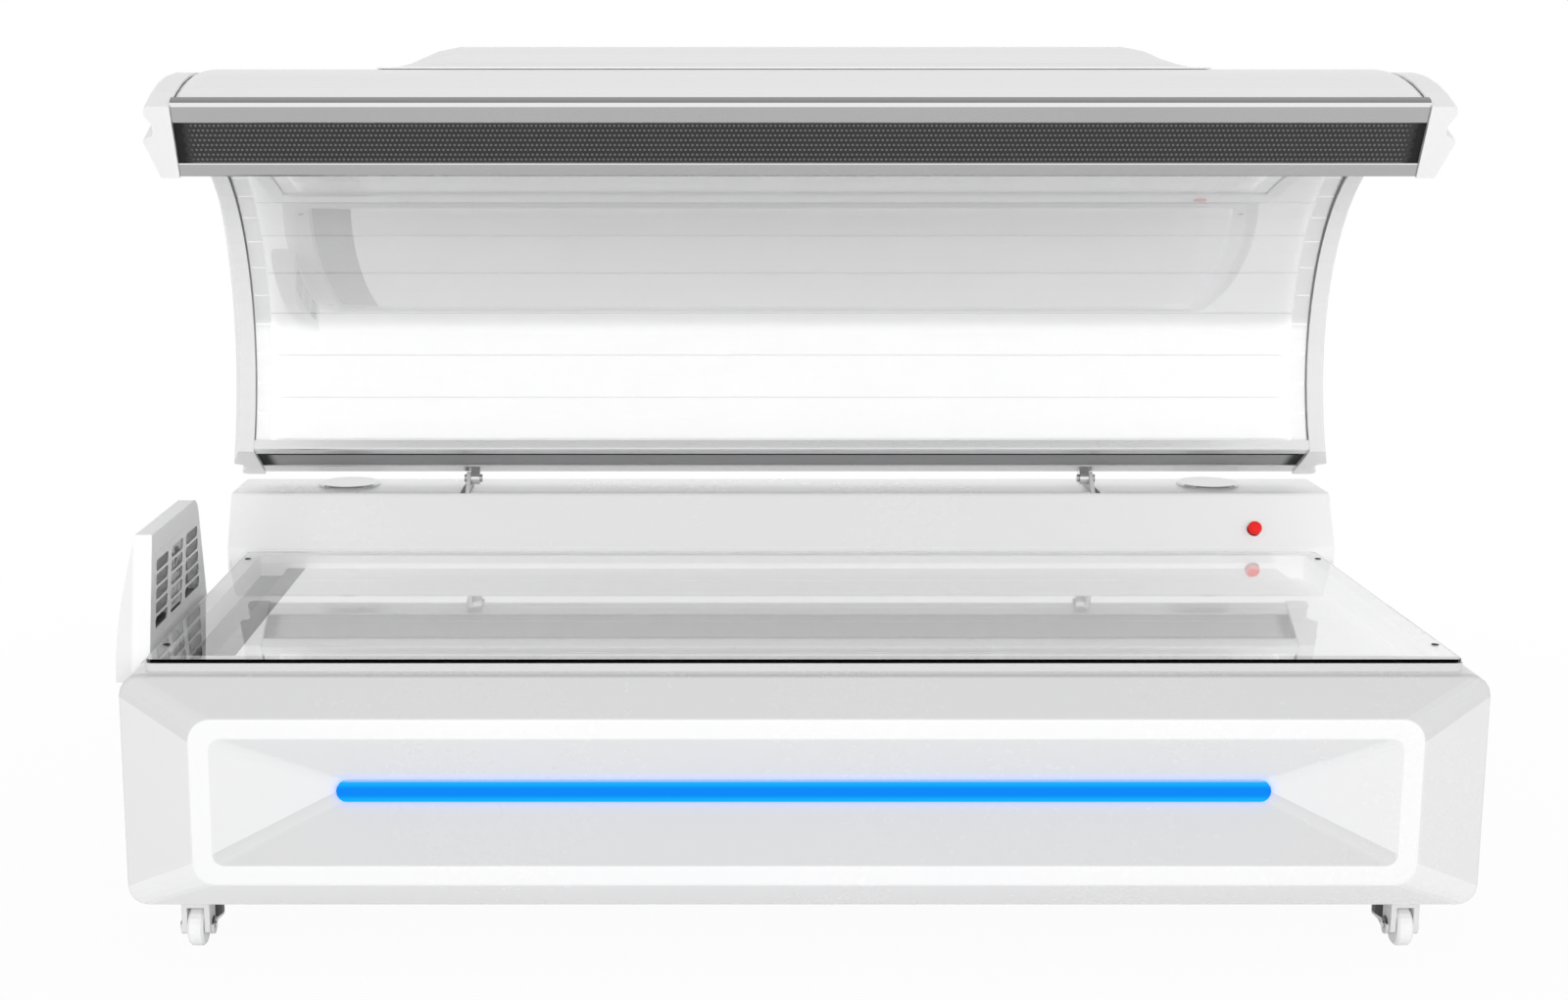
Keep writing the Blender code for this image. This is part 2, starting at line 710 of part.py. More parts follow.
board_half = HALF - TRAY_INSET - FLANGE_WIDTH - BOARD_END_GAP
board_front = TRAY_FRONT + FLANGE_WIDTH + BOARD_SIDE_GAP
board_rear = TRAY_REAR - FLANGE_WIDTH - BOARD_SIDE_GAP
board_z = TRAY_FLOOR + CLEARANCE
board_top = board_z + BOARD_HEIGHT
board_pitch = (board_rear - board_front) / BOARD_ROWS
board_under = board_top - BOARD_SHEET
board_section = [
    (board_rear, board_z),
    (board_rear - BOARD_SHEET, board_z),
    (board_rear - BOARD_SHEET, board_under),
    (board_front + BOARD_SHEET, board_under),
    (board_front + BOARD_SHEET, board_z),
    (board_front, board_z),
]
for row in range(BOARD_ROWS):
    near = board_front + row * board_pitch + (BOARD_SEAM / 2 if row else 0)
    far = board_front + (row + 1) * board_pitch - (BOARD_SEAM / 2 if row < BOARD_ROWS - 1 else 0)
    if row:
        board_section.append((near, board_top - BOARD_SEAM))
    board_section += [(near, board_top), (far, board_top)]
    if row < BOARD_ROWS - 1:
        board_section.append((far, board_top - BOARD_SEAM))
add_piece("lower_led_panel", prism(board_section, "X", -board_half, board_half), LIGHT_WHITE, bed)

sheet_z = FLANGE_TOP + CLEARANCE
sheet_loops = [tray_loop(SHEET_INSET, z, FLANGE_CORNER) for z in (sheet_z, sheet_z + SHEET_THICKNESS)]
add_piece("lying_sheet", loft(sheet_loops), CLEAR, bed)

# Rear box: sloped front, slots for the hinge plates, open underneath, skirts over the base's ends
box_corners = [
    (BOX_REAR, BOX_Z - BOX_SKIRT),
    (BOX_REAR, BOX_TOP),
    (BOX_FRONT + BOX_SETBACK, BOX_TOP),
    (BOX_FRONT, BOX_Z + BOX_STEP),
    (BOX_FRONT, BOX_Z - BOX_SKIRT),
]
box_radii = (0, BOX_ROUND, BOX_ROUND, BOX_ROUND / 2, 0)
box_outline = fillet(box_corners, box_radii)
box_end = fillet(offset_polygon(box_corners, 2 * BOX_END_EASE), [0.5 * radius for radius in box_radii])
box_loops = [
    [(-box_half, y, z) for y, z in box_end],
    [(-box_half, y, z) for y, z in box_outline],
    [(box_half, y, z) for y, z in box_outline],
    [(box_half, y, z) for y, z in box_end],
]
rear_box = add_piece("rear_box", loft(eased(box_loops, (0, BOX_END_EASE, BOX_END_EASE, 0))), WHITE, bed)
skirt_inner = HALF + 2 * CLEARANCE
box_reach = BOX_SKIRT + BOX_WALL
combine(
    rear_box,
    box(
        (-skirt_inner, BOX_FRONT - BOX_WALL, BOX_Z - box_reach),
        (skirt_inner, BOX_REAR + BOX_WALL, BOX_Z),
    ),
)
box_inside = offset_polygon(box_corners, BOX_WALL)
inside_radii = [0.8 * radius for radius in box_radii]
inside_half = HALF - BOX_WALL
combine(rear_box, prism(fillet(box_inside, inside_radii), "X", -inside_half, inside_half))
for side in (-1, 1):
    slot_x = sorted((side * (PLATE_INNER - SLOT_INNER_GAP), side * (PLATE_OUTER + SLOT_OUTER_GAP)))
    slot_front = PIVOT_Y - HINGE_PLATE_FRONT - SLOT_INNER_GAP
    combine(
        rear_box,
        box(
            (slot_x[0], slot_front, BOX_TOP - SLOT_DEPTH),
            (slot_x[1], BOX_REAR + BOX_WALL, BOX_TOP + BOX_WALL),
        ),
    )

disc_y = BOX_REAR - DISC_SETBACK
disc_profile = [
    (0, 0),
    (DISC_RADIUS, 0),
    (DISC_RADIUS, DISC_HEIGHT / 2),
    (DISC_RADIUS - DISC_HEIGHT / 2, DISC_HEIGHT),
    (0, DISC_HEIGHT),
]
for name, side in (("round_cover_left", -1), ("round_cover_right", 1)):
    spot = (side * (HALF - DISC_END_INSET), disc_y, BOX_TOP + CLEARANCE)
    add_piece(name, lathe(disc_profile, 26), STEEL, bed, spot)

# Stop button: a collar through the sloped wall and a sprung cap on a stem
slope_length = hypot(SLOPE_RUN, SLOPE_RISE)
box_face.location = (
    HALF - BUTTON_END_INSET,
    BOX_FRONT + SLOPE_RUN * BUTTON_RISE / slope_length,
    BOX_Z + BOX_STEP + SLOPE_RISE * BUTTON_RISE / slope_length,
)
box_face.rotation_euler = (atan2(SLOPE_RISE, SLOPE_RUN), 0, 0)
stem_bore = BUTTON_STEM + CLEARANCE
sleeve = stem_bore + COLLAR_WALL
collar_profile = [
    (stem_bore, COLLAR_HEIGHT),
    (stem_bore, -COLLAR_TAIL),
    (sleeve, -COLLAR_TAIL),
    (sleeve, CLEARANCE),
    (sleeve + COLLAR_LIP, CLEARANCE),
    (sleeve + COLLAR_LIP, COLLAR_HEIGHT),
]
add_piece("button_collar", lathe(collar_profile, 18), STEEL, box_face)
sleeve_hole = sleeve + CLEARANCE
hole_profile = [(radius, -COLLAR_TAIL) for radius in (0, sleeve_hole)]
hole_profile += [(radius, COLLAR_TAIL) for radius in (sleeve_hole, 0)]
combine(rear_box, lathe(hole_profile, 18), parent=box_face)
cap_base = COLLAR_HEIGHT + BUTTON_TRAVEL + CLEARANCE
button_profile = [
    (0, -COLLAR_TAIL),
    (BUTTON_STEM, -COLLAR_TAIL),
    (BUTTON_STEM, cap_base),
    (BUTTON_RADIUS, cap_base),
    (BUTTON_RADIUS, cap_base + 0.6 * BUTTON_CROWN),
    (0.8 * BUTTON_RADIUS, cap_base + 0.9 * BUTTON_CROWN),
    (0, cap_base + BUTTON_CROWN),
]
add_piece("stop_button", lathe(button_profile, 18), RED, box_face)

# Hinge: fixed plates in the slots, lugs on the canopy and pins
plate_front = -HINGE_PLATE_FRONT
plate_rear = plate_front + HINGE_PLATE_DEPTH
plate_foot = -PIVOT_RISE - HINGE_PLATE_DROP
plate_corners = [(y, z) for y in (plate_front, plate_rear) for z in (-PIVOT_RISE, plate_foot)]
plate_outline = hull(circle(HINGE_KNUCKLE, 16) + plate_corners)
lug_foot_point = end_point(PIVOT_RADIUS + LUG_FOOT / 2, -CLEARANCE, False)
lug_heel_point = end_point(PIVOT_RADIUS - LUG_FOOT / 4, -CLEARANCE, False)
lug_outline = hull(circle(HINGE_KNUCKLE, 16) + [lug_foot_point, lug_heel_point])
pin_bore = [(y, z) for y, z in circle(PIN_RADIUS + CLEARANCE, 16)]
lug_outer = PLATE_INNER - CLEARANCE
lug_inner = lug_outer - LUG_WIDTH
for label, side in (("left", -1), ("right", 1)):
    plate_bm = prism(plate_outline, "X", side * PLATE_INNER, side * PLATE_OUTER)
    plate = add_piece(f"hinge_plate_{label}", plate_bm, STEEL, bed, (0, PIVOT_Y, PIVOT_Z))
    reach = side * (PLATE_OUTER + HINGE_PLATE)
    combine(plate, prism(pin_bore, "X", 0, reach), location=(0, PIVOT_Y, PIVOT_Z))
    lug = add_piece(
        f"hinge_lug_{label}", prism(lug_outline, "X", side * lug_inner, side * lug_outer), ALUMINIUM, canopy
    )
    combine(lug, prism(pin_bore, "X", 0, reach))
    head_in = lug_inner - CLEARANCE
    head_out = PLATE_OUTER + CLEARANCE
    pin_profile = [
        (0, head_in - PIN_HEAD),
        (PIN_HEAD_RADIUS, head_in - PIN_HEAD),
        (PIN_HEAD_RADIUS, head_in),
        (PIN_RADIUS, head_in),
        (PIN_RADIUS, head_out),
        (PIN_HEAD_RADIUS, head_out),
        (PIN_HEAD_RADIUS, head_out + PIN_HEAD),
        (0, head_out + PIN_HEAD),
    ]
    pin_profile = [(radius, side * x) for radius, x in pin_profile]
    add_piece(f"hinge_pin_{label}", lathe(pin_profile, 12, "X"), STEEL, bed, (0, PIVOT_Y, PIVOT_Z))

# Vent housing: a curved section along the left end, trimmed by its side outline
vent_top = BASE_TOP + VENT_HEIGHT
vent_bottom = BASE_TOP - VENT_DROP
vent_steps = 10
vent_section = [(VENT_TOP_INSET + VENT_TOP_THICKNESS - HALF, vent_top)]
for step in range(vent_steps + 1):
    share = step / vent_steps
    bulge = VENT_BULGE * sin(pi / 2 * share)
    vent_section.append((VENT_TOP_INSET - HALF - bulge, vent_top - (vent_top - vent_bottom) * share))
seat = BASE_CORNER + CLEARANCE
seat_stop = acos((VENT_FOOT_INSET - BASE_CORNER) / seat)
vent_section.append((-HALF - CLEARANCE, vent_bottom))
for step in range(7):
    angle = pi + (seat_stop - pi) * step / 6
    seat_x = BASE_CORNER - HALF + seat * cos(angle)
    vent_section.append((seat_x, BASE_TOP - BASE_CORNER + seat * sin(angle)))
vent_rear = VENT_FRONT + VENT_LENGTH
vent_side = fillet(
    [
        (VENT_FRONT, vent_bottom),
        (vent_rear, vent_bottom),
        (vent_rear, BASE_TOP),
        (VENT_FRONT + VENT_TOP_LENGTH, vent_top),
        (VENT_FRONT, vent_top),
    ],
    (0, 0, 0, VENT_CORNER, 0),
    6,
)
vent_bm = prism(vent_section, "Y", VENT_FRONT - VENT_CORNER, vent_rear + VENT_CORNER)
vent_housing = add_piece("vent_housing", vent_bm, WHITE, bed)
combine(vent_housing, prism(vent_side, "X", -HALF - 2 * VENT_BULGE, 0), "INTERSECT")
round_edges(vent_housing, VENT_EDGE)

# Vent grille: slots in columns and rows, the last column cut off along a slant
vent_face.location = (VENT_FOOT_INSET - HALF, 0, BASE_TOP)
vent_face.rotation_euler = (0, VENT_LEAN, 0)
row_pitch = SLOT_HEIGHT + ROW_GAP
column_pitch = SLOT_LENGTH + COLUMN_GAP
slots_front = VENT_FRONT + SLOT_FRONT
slots_rear = slots_front + (GRILLE_COLUMNS - 1) * column_pitch + SLOT_LENGTH
slots_top = GRILLE_FOOT + GRILLE_ROWS * row_pitch - ROW_GAP


def slot_end(z):
    return slots_rear + SLOT_SLANT * (slots_top - z)


grille_low = GRILLE_FOOT - GRILLE_MARGIN
grille_high = slots_top + GRILLE_MARGIN


def grille_outline(gap):
    low = grille_low - gap
    high = grille_high + gap
    rear = GRILLE_MARGIN + gap
    corners = [
        (slots_front - GRILLE_MARGIN - gap, low),
        (slot_end(grille_low) + rear, low),
        (slot_end(grille_high) + rear, high),
        (slots_front - GRILLE_MARGIN - gap, high),
    ]
    return fillet(corners, [SLOT_CORNER] * 4)


grille_bm = prism(grille_outline(0), "X", -GRILLE_THICKNESS, 0)
vent_grille = add_piece("vent_grille", grille_bm, WHITE, vent_face)
slots_bm = bmesh.new()
for column in range(GRILLE_COLUMNS):
    for row in range(GRILLE_ROWS):
        near = slots_front + column * column_pitch
        low = GRILLE_FOOT + row * row_pitch
        high = low + SLOT_HEIGHT
        far_low = far_high = near + SLOT_LENGTH
        if column == GRILLE_COLUMNS - 1:
            far_low, far_high = slot_end(low), slot_end(high)
        corners = [(near, low), (far_low, low), (far_high, high), (near, high)]
        corners = fillet(corners, [SLOT_CORNER] * 4, 1)
        face = slots_bm.faces.new([slots_bm.verts.new((-2 * GRILLE_THICKNESS, y, z)) for y, z in corners])
        swept = bmesh.ops.extrude_face_region(slots_bm, geom=[face])
        verts = [item for item in swept["geom"] if isinstance(item, bmesh.types.BMVert)]
        bmesh.ops.translate(slots_bm, vec=(3 * GRILLE_THICKNESS, 0, 0), verts=verts)
combine(vent_grille, slots_bm)

fan_front = -GRILLE_THICKNESS - CLEARANCE
fan_back = fan_front - FAN_DEPTH
combine(
    vent_housing,
    prism(grille_outline(CLEARANCE), "X", fan_back - CLEARANCE, GRILLE_THICKNESS),
    parent=vent_face,
)
fan_y = (slots_front + slots_rear) / 2
fan_z = (GRILLE_FOOT + slots_top) / 2
fan_outline = rounded_rectangle(FAN_SIZE / 2, FAN_SIZE / 2, 0.06 * FAN_SIZE, steps=3)
fan_frame = add_piece(
    "vent_fan_frame", prism(fan_outline, "X", fan_back, fan_front), BLACK, vent_face, (0, fan_y, fan_z)
)
bore_floor = fan_back + FAN_BACK
combine(fan_frame, prism(circle(FAN_BORE, 24), "X", bore_floor, FAN_DEPTH), location=(0, fan_y, fan_z))
windows_bm = bmesh.new()
for window in range(4):
    arc = [radians(10 + 90 * window + 70 * step / 4) for step in range(5)]
    ring = [(0.97 * FAN_BORE * cos(a), 0.97 * FAN_BORE * sin(a)) for a in arc]
    ring += [((FAN_HUB + FAN_TIP_GAP) * cos(a), (FAN_HUB + FAN_TIP_GAP) * sin(a)) for a in reversed(arc)]
    face = windows_bm.faces.new([windows_bm.verts.new((fan_back - FAN_BACK, y, z)) for y, z in ring])
    swept = bmesh.ops.extrude_face_region(windows_bm, geom=[face])
    verts = [item for item in swept["geom"] if isinstance(item, bmesh.types.BMVert)]
    bmesh.ops.translate(windows_bm, vec=(3 * FAN_BACK, 0, 0), verts=verts)
combine(fan_frame, windows_bm, location=(0, fan_y, fan_z))

rotor_depth = FAN_DEPTH - FAN_BACK - 2 * CLEARANCE - FAN_TIP_GAP
fan_tip = FAN_BORE - FAN_TIP_GAP
blade_edges = ((0.0, FAN_HUB), (0.16, fan_tip), (0.46, fan_tip), (0.5, FAN_HUB))
rotor_loops = []
for layer in range(4):
    share = layer / 3
    loop = []
    for blade in range(FAN_BLADES):
        for part, radius in blade_edges:
            angle = 2 * pi * (blade + part) / FAN_BLADES + FAN_TWIST * share
            loop.append((share * rotor_depth, radius * cos(angle), radius * sin(angle)))
    rotor_loops.append(loop)
add_piece(
    "vent_fan_rotor", loft(rotor_loops), BLACK, vent_face, (bore_floor + CLEARANCE, fan_y, fan_z)
)

# Chassis: a perimeter of square bars, cross bars, posts under the tray and posts for the hinge
rail_outer = [
    (-CHASSIS_HALF, CHASSIS_FRONT),
    (CHASSIS_HALF, CHASSIS_FRONT),
    (CHASSIS_HALF, CHASSIS_REAR),
    (-CHASSIS_HALF, CHASSIS_REAR),
]
rail_inner = offset_polygon(rail_outer, BAR)
chassis_loops = [
    [(x, y, CHASSIS_Z) for x, y in rail_inner],
    [(x, y, CHASSIS_Z) for x, y in rail_outer],
    [(x, y, BAR_TOP) for x, y in rail_outer],
    [(x, y, BAR_TOP) for x, y in rail_inner],
    [(x, y, CHASSIS_Z) for x, y in rail_inner],
]
chassis_bm = loft(chassis_loops, (False, False))
bmesh.ops.remove_doubles(chassis_bm, verts=chassis_bm.verts, dist=1e-6)
chassis = add_piece("chassis_frame", chassis_bm, DARK_STEEL, bed)
cross_low = CHASSIS_Z + BAR_STEP
cross_top = BAR_TOP - BAR_STEP
post_half = BAR / 2 - BAR_STEP
post_top = TRAY_FLOOR - TRAY_WALL - CLEARANCE
front_y = CHASSIS_FRONT + BAR / 2
rear_y = CHASSIS_REAR - BAR / 2
mid_y = TRAY_REAR - MID_BAR_INSET
end_x = CHASSIS_HALF - BAR / 2
combine(chassis, box((-end_x, mid_y - BAR / 2, cross_low), (end_x, mid_y + BAR / 2, cross_top)), "UNION")
for x in (-CROSS_BAR_X, CROSS_BAR_X):
    low = (x - BAR / 2, front_y, cross_low + BAR_STEP)
    high = (x + BAR / 2, rear_y, cross_top - BAR_STEP)
    combine(chassis, box(low, high), "UNION")
for x in (-end_x, end_x):
    for y in (front_y, mid_y):
        low = (x - post_half, y - post_half, CHASSIS_Z + BAR / 2)
        combine(chassis, box(low, (x + post_half, y + post_half, post_top)), "UNION")
for side in (-1, 1):
    x = side * (PLATE_INNER - CLEARANCE - post_half)
    low = (x - post_half, rear_y - post_half, CHASSIS_Z + BAR / 2)
    high = (x + post_half, rear_y + post_half, PIVOT_Z + plate_foot + HINGE_PLATE_DROP / 2)
    combine(chassis, box(low, high), "UNION")

inner_top = cross_top - BAR_STEP + CLEARANCE
inner_y = (front_y + mid_y) / 2
supply = ("power_supply", CROSS_BAR_X, SUPPLY_LENGTH, SUPPLY_DEPTH, SUPPLY_HEIGHT)
control = ("control_box", -CROSS_BAR_X, CONTROL_LENGTH, CONTROL_DEPTH, CONTROL_HEIGHT)
for name, x, length, depth, height in (supply, control):
    outline = rounded_rectangle(length / 2, depth / 2, 0.05 * depth, (x, inner_y), 2)
    add_piece(name, prism(outline, "Z", inner_top, inner_top + height), STEEL, bed)

# Rear panel and cable gland
panel_y = BASE_DEPTH + CLEARANCE
rear_outline = rounded_rectangle(panel_half, REAR_PANEL_HEIGHT / 2, REAR_PANEL_LAP / 2, (0, BASE_MID), 3)
panel_bm = prism(rear_outline, "Y", panel_y, panel_y + REAR_PANEL_THICKNESS)
rear_panel = add_piece("rear_panel", panel_bm, WHITE, bed)
gland_z = panel_low + 2 * REAR_PANEL_LAP + GLAND_RADIUS
gland_hole = circle(GLAND_RADIUS + CLEARANCE, 16, (GLAND_X, gland_z))
combine(rear_panel, prism(gland_hole, "Y", panel_y - GLAND_REACH, panel_y + GLAND_REACH))
gland_seat = REAR_PANEL_THICKNESS + CLEARANCE
gland_profile = [
    (0, -GLAND_REACH),
    (GLAND_RADIUS, -GLAND_REACH),
    (GLAND_RADIUS, gland_seat),
    (1.35 * GLAND_RADIUS, gland_seat),
    (1.35 * GLAND_RADIUS, gland_seat + GLAND_REACH / 2),
    (0.9 * GLAND_RADIUS, gland_seat + GLAND_REACH),
    (0.45 * GLAND_RADIUS, gland_seat + GLAND_REACH),
    (0.45 * GLAND_RADIUS, gland_seat - GLAND_REACH / 2),
    (0, gland_seat - GLAND_REACH / 2),
]
add_piece("cable_gland", lathe(gland_profile, 12), BLACK, bed, (GLAND_X, panel_y, gland_z), (-pi / 2, 0, 0))

# Casters: plate with race and kingpin, swivelling fork with a hood and a bell, axle and wheel
fork_inner = WHEEL_WIDTH / 2 + WHEEL_SIDE_GAP
fork_outer = fork_inner + FORK_CHEEK
lobe_outer = fork_outer + FORK_LOBE_PROUD
hood_y = -CASTER_TRAIL - HOOD_FRONT
hood_corners = [(fork_outer, 0), (fork_outer, BOSS_Z), (-fork_outer, BOSS_Z), (-fork_outer, 0)]
hood_section = fillet(hood_corners, (0, FORK_SHOULDER, FORK_SHOULDER, 0), 3)
lobe = circle(FORK_LOBE, 14, (-CASTER_TRAIL, AXLE_Z))
fork_side = hull(lobe + [(hood_y, HOOD_LOW), (hood_y, BOSS_Z), (0, BOSS_Z), (0, BELL_Z)])
fork_bm = prism(hood_section, "Y", hood_y - FORK_LOBE, FORK_LOBE)
fork_pattern = guide(add_piece("fork_pattern", fork_bm, PALE_GREY, None))
combine(fork_pattern, prism(fork_side, "X", -2 * fork_outer, 2 * fork_outer), "INTERSECT")
bell_profile = [
    (0, BELL_Z),
    (BELL_RADIUS - BELL_TAPER, BELL_Z),
    (BELL_RADIUS, BELL_Z + BELL_TAPER),
    (BELL_RADIUS, BOSS_Z - FORK_CROWN / 2 - BELL_ROUND),
    (BELL_RADIUS - BELL_ROUND, BOSS_Z - FORK_CROWN / 2),
    (0, BOSS_Z - FORK_CROWN / 2),
]
combine(fork_pattern, lathe(bell_profile, 22), "UNION")
boss = circle(BOSS_RADIUS - CLEARANCE, 14)
combine(fork_pattern, prism(boss, "Z", BOSS_Z - FORK_CROWN, BOSS_Z + BOSS_HEIGHT), "UNION")
for side in (-1, 1):
    lobe_bm = prism(lobe, "X", side * (fork_outer - FORK_CHEEK / 2), side * lobe_outer)
    combine(fork_pattern, lobe_bm, "UNION")
well_rear = WHEEL_RADIUS + WHEEL_TOP_GAP - CASTER_TRAIL
combine(fork_pattern, box((-fork_inner, 2 * hood_y, -AXLE_Z), (fork_inner, well_rear, CROWN_Z)))
kingpin_hole = circle(KINGPIN_RADIUS + 2 * CLEARANCE, 10)
combine(fork_pattern, prism(kingpin_hole, "Z", CROWN_Z - KINGPIN_RADIUS, PLATE_Z))
axle_hole = circle(AXLE_RADIUS + 2 * CLEARANCE, 8, (-CASTER_TRAIL, AXLE_Z))
combine(fork_pattern, prism(axle_hole, "X", -2 * lobe_outer, 2 * lobe_outer))

plate_corner = 0.1 * CASTER_PLATE
plate_square = rounded_rectangle(CASTER_PLATE / 2, CASTER_PLATE / 2, plate_corner, steps=3)
plate_bm = prism(plate_square, "Z", PLATE_Z, PLATE_Z + CASTER_PLATE_THICKNESS)
plate_pattern = guide(add_piece("plate_pattern", plate_bm, DARK_STEEL, None))
race_profile = [
    (0, CROWN_Z),
    (KINGPIN_RADIUS, CROWN_Z),
    (KINGPIN_RADIUS, RACE_Z),
    (RACE_RADIUS, RACE_Z),
    (RACE_RADIUS, PLATE_Z + CASTER_PLATE_THICKNESS / 2),
    (0, PLATE_Z + CASTER_PLATE_THICKNESS / 2),
]
combine(plate_pattern, lathe(race_profile, 14), "UNION")

axle_head_x = lobe_outer + CLEARANCE
axle_profile = [
    (0, -axle_head_x - AXLE_HEAD),
    (AXLE_HEAD_RADIUS, -axle_head_x - AXLE_HEAD),
    (AXLE_HEAD_RADIUS, -axle_head_x),
    (AXLE_RADIUS, -axle_head_x),
    (AXLE_RADIUS, axle_head_x),
    (AXLE_HEAD_RADIUS, axle_head_x),
    (AXLE_HEAD_RADIUS, axle_head_x + AXLE_HEAD),
    (0, axle_head_x + AXLE_HEAD),
]
wheel_half = WHEEL_WIDTH / 2
wheel_bore = AXLE_RADIUS + CLEARANCE
wheel_profile = [
    (wheel_bore, -wheel_half),
    (WHEEL_RADIUS - WHEEL_EASE, -wheel_half),
    (WHEEL_RADIUS, WHEEL_EASE - wheel_half),
    (WHEEL_RADIUS, wheel_half - WHEEL_EASE),
    (WHEEL_RADIUS - WHEEL_EASE, wheel_half),
    (wheel_bore, wheel_half),
]
caster_x = HALF - CASTER_END_INSET
for row, y in (("front", CASTER_FRONT), ("rear", BASE_DEPTH - CASTER_REAR_INSET)):
    for label, side in (("left", -1), ("right", 1)):
        swivel = add_empty(f"swivel_{row}_{label}", bed, (side * caster_x, y, 0))
        name = f"caster_{row}_{label}"
        add_copy(f"{name}_plate", plate_pattern, DARK_STEEL, swivel)
        add_copy(f"{name}_fork", fork_pattern, PALE_GREY, swivel)
        axle_spot = (0, -CASTER_TRAIL, AXLE_Z)
        add_piece(f"{name}_axle", lathe(axle_profile, 8, "X"), STEEL, swivel, axle_spot)
        wheel_bm = lathe(wheel_profile, WHEEL_FACETS, "X", pi / WHEEL_FACETS)
        add_piece(f"{name}_wheel", wheel_bm, TYRE_GREY, swivel, axle_spot)

# Canopy shell: a curved sheet that rolls down toward both end caps
shell_half = CANOPY_HALF - SHELL_END_GAP
roll_x = shell_half - SHELL_ROLL
shell_top = [(-roll_x, CANOPY_RADIUS), (roll_x, CANOPY_RADIUS)]
for part in (0.45, 0.77, 1.0):
    drop = SHELL_ROLL_DROP * part * part
    shell_top.append((roll_x + SHELL_ROLL * part, CANOPY_RADIUS - drop))
    shell_top.insert(0, (-roll_x - SHELL_ROLL * part, CANOPY_RADIUS - drop))
shell_edge = SHELL_INNER - SHELL_ROLL_DROP
shell_bottom = [(shell_half, shell_edge), (roll_x, SHELL_INNER)]
shell_bottom += [(-x, radius) for x, radius in reversed(shell_bottom)]
lip_angle = (PROFILE_LIP + CLEARANCE) / (SHELL_INNER - SHELL_ROLL_DROP)
shell_start = REAR_ANGLE + lip_angle
shell_stop = FRONT_ANGLE - lip_angle
shell_bm = sweep(shell_top + shell_bottom, shell_start, shell_stop, ARC_STEPS)
add_piece("canopy_shell", shell_bm, WHITE, canopy)


# Canopy hump: an even wall over a smooth rise on all four sides
def hump_rise(x, angle):
    ends = smooth((HUMP_HALF_LENGTH - abs(x)) / HUMP_END_SLOPE)
    rear = smooth((angle - hump_start) / HUMP_SLOPE)
    front = smooth((hump_stop - angle) / HUMP_SLOPE)
    return (HUMP_HEIGHT - HUMP_RIM) * ends * min(rear, front)


hump_start = REAR_ANGLE + HUMP_REAR
hump_stop = FRONT_ANGLE - HUMP_FRONT
slope_parts = [i / 4 for i in range(5)]
hump_x = [-HUMP_HALF_LENGTH + HUMP_END_SLOPE * part for part in slope_parts]
hump_x += [-x for x in reversed(hump_x)]
hump_top = hump_stop - hump_start - 2 * HUMP_SLOPE
hump_half_step = HUMP_STEP / 2
top_steps = ceil(hump_top / (2 * hump_half_step))
hump_angles = [hump_start + HUMP_SLOPE * part for part in slope_parts]
hump_angles += [hump_start + HUMP_SLOPE + hump_top * i / top_steps for i in range(1, top_steps)]
hump_angles += [hump_stop - HUMP_SLOPE * part for part in reversed(slope_parts)]
hump_seat = (CANOPY_RADIUS + CLEARANCE) / cos(hump_half_step)
hump_bm = bmesh.new()
skins = []
for depth in (HUMP_RIM, HUMP_RIM - HUMP_WALL):
    skins.append(
        [
            [hump_bm.verts.new((x, *polar(hump_seat + depth + hump_rise(x, a), a))) for x in hump_x]
            for a in hump_angles
        ]
    )
rows = len(hump_angles)
columns = len(hump_x)
for skin_rows in skins:
    for i in range(rows - 1):
        for j in range(columns - 1):
            hump_bm.faces.new(
                (skin_rows[i][j], skin_rows[i][j + 1], skin_rows[i + 1][j + 1], skin_rows[i + 1][j])
            )
border = [(0, j) for j in range(columns - 1)] + [(i, columns - 1) for i in range(rows - 1)]
border += [(rows - 1, j) for j in range(columns - 1, 0, -1)] + [(i, 0) for i in range(rows - 1, 0, -1)]
for (i, j), (k, m) in zip(border, border[1:] + border[:1]):
    hump_bm.faces.new((skins[0][i][j], skins[0][k][m], skins[1][k][m], skins[1][i][j]))
add_piece("canopy_hump", hump_bm, WHITE, canopy)

# End caps: a section with a groove, turned past both end faces and hollow between closed ends
cap_face = CANOPY_HALF + CLEARANCE
rise = [0, CAP_FLANK_RISE, CAP_STEP_RISE, CAP_GROOVE_RISE, CAP_OUT_RISE, CAP_ROLL_RISE]
levels = [sum(rise[: i + 1]) for i in range(len(rise))]
cap_corners = [
    (0, levels[0]),
    (CAP_LIP, levels[0]),
    (CAP_CREST, levels[1]),
    (CAP_GROOVE, levels[2]),
    (CAP_GROOVE, levels[3]),
    (CAP_ROLL, levels[4]),
    (CAP_ROLL, levels[5]),
    (0, levels[5]),
]
cap_outer = fillet(cap_corners, (0, *CAP_ROUNDS, 0), 2)
cap_inner = offset_polygon(cap_corners, CAP_WALL)
cap_hollow_top = levels[5] - CAP_WALL
cap_hollow = [(-CAP_WALL, cap_hollow_top), (cap_inner[3][0], cap_hollow_top)]
cap_hollow += cap_inner[3:0:-1] + [(-CAP_WALL, CAP_WALL)]
cap_start = REAR_ANGLE - CAP_OVERHANG / INNER_RADIUS
cap_stop = FRONT_ANGLE + CAP_OVERHANG / INNER_RADIUS
cap_end = CAP_WALL / INNER_RADIUS
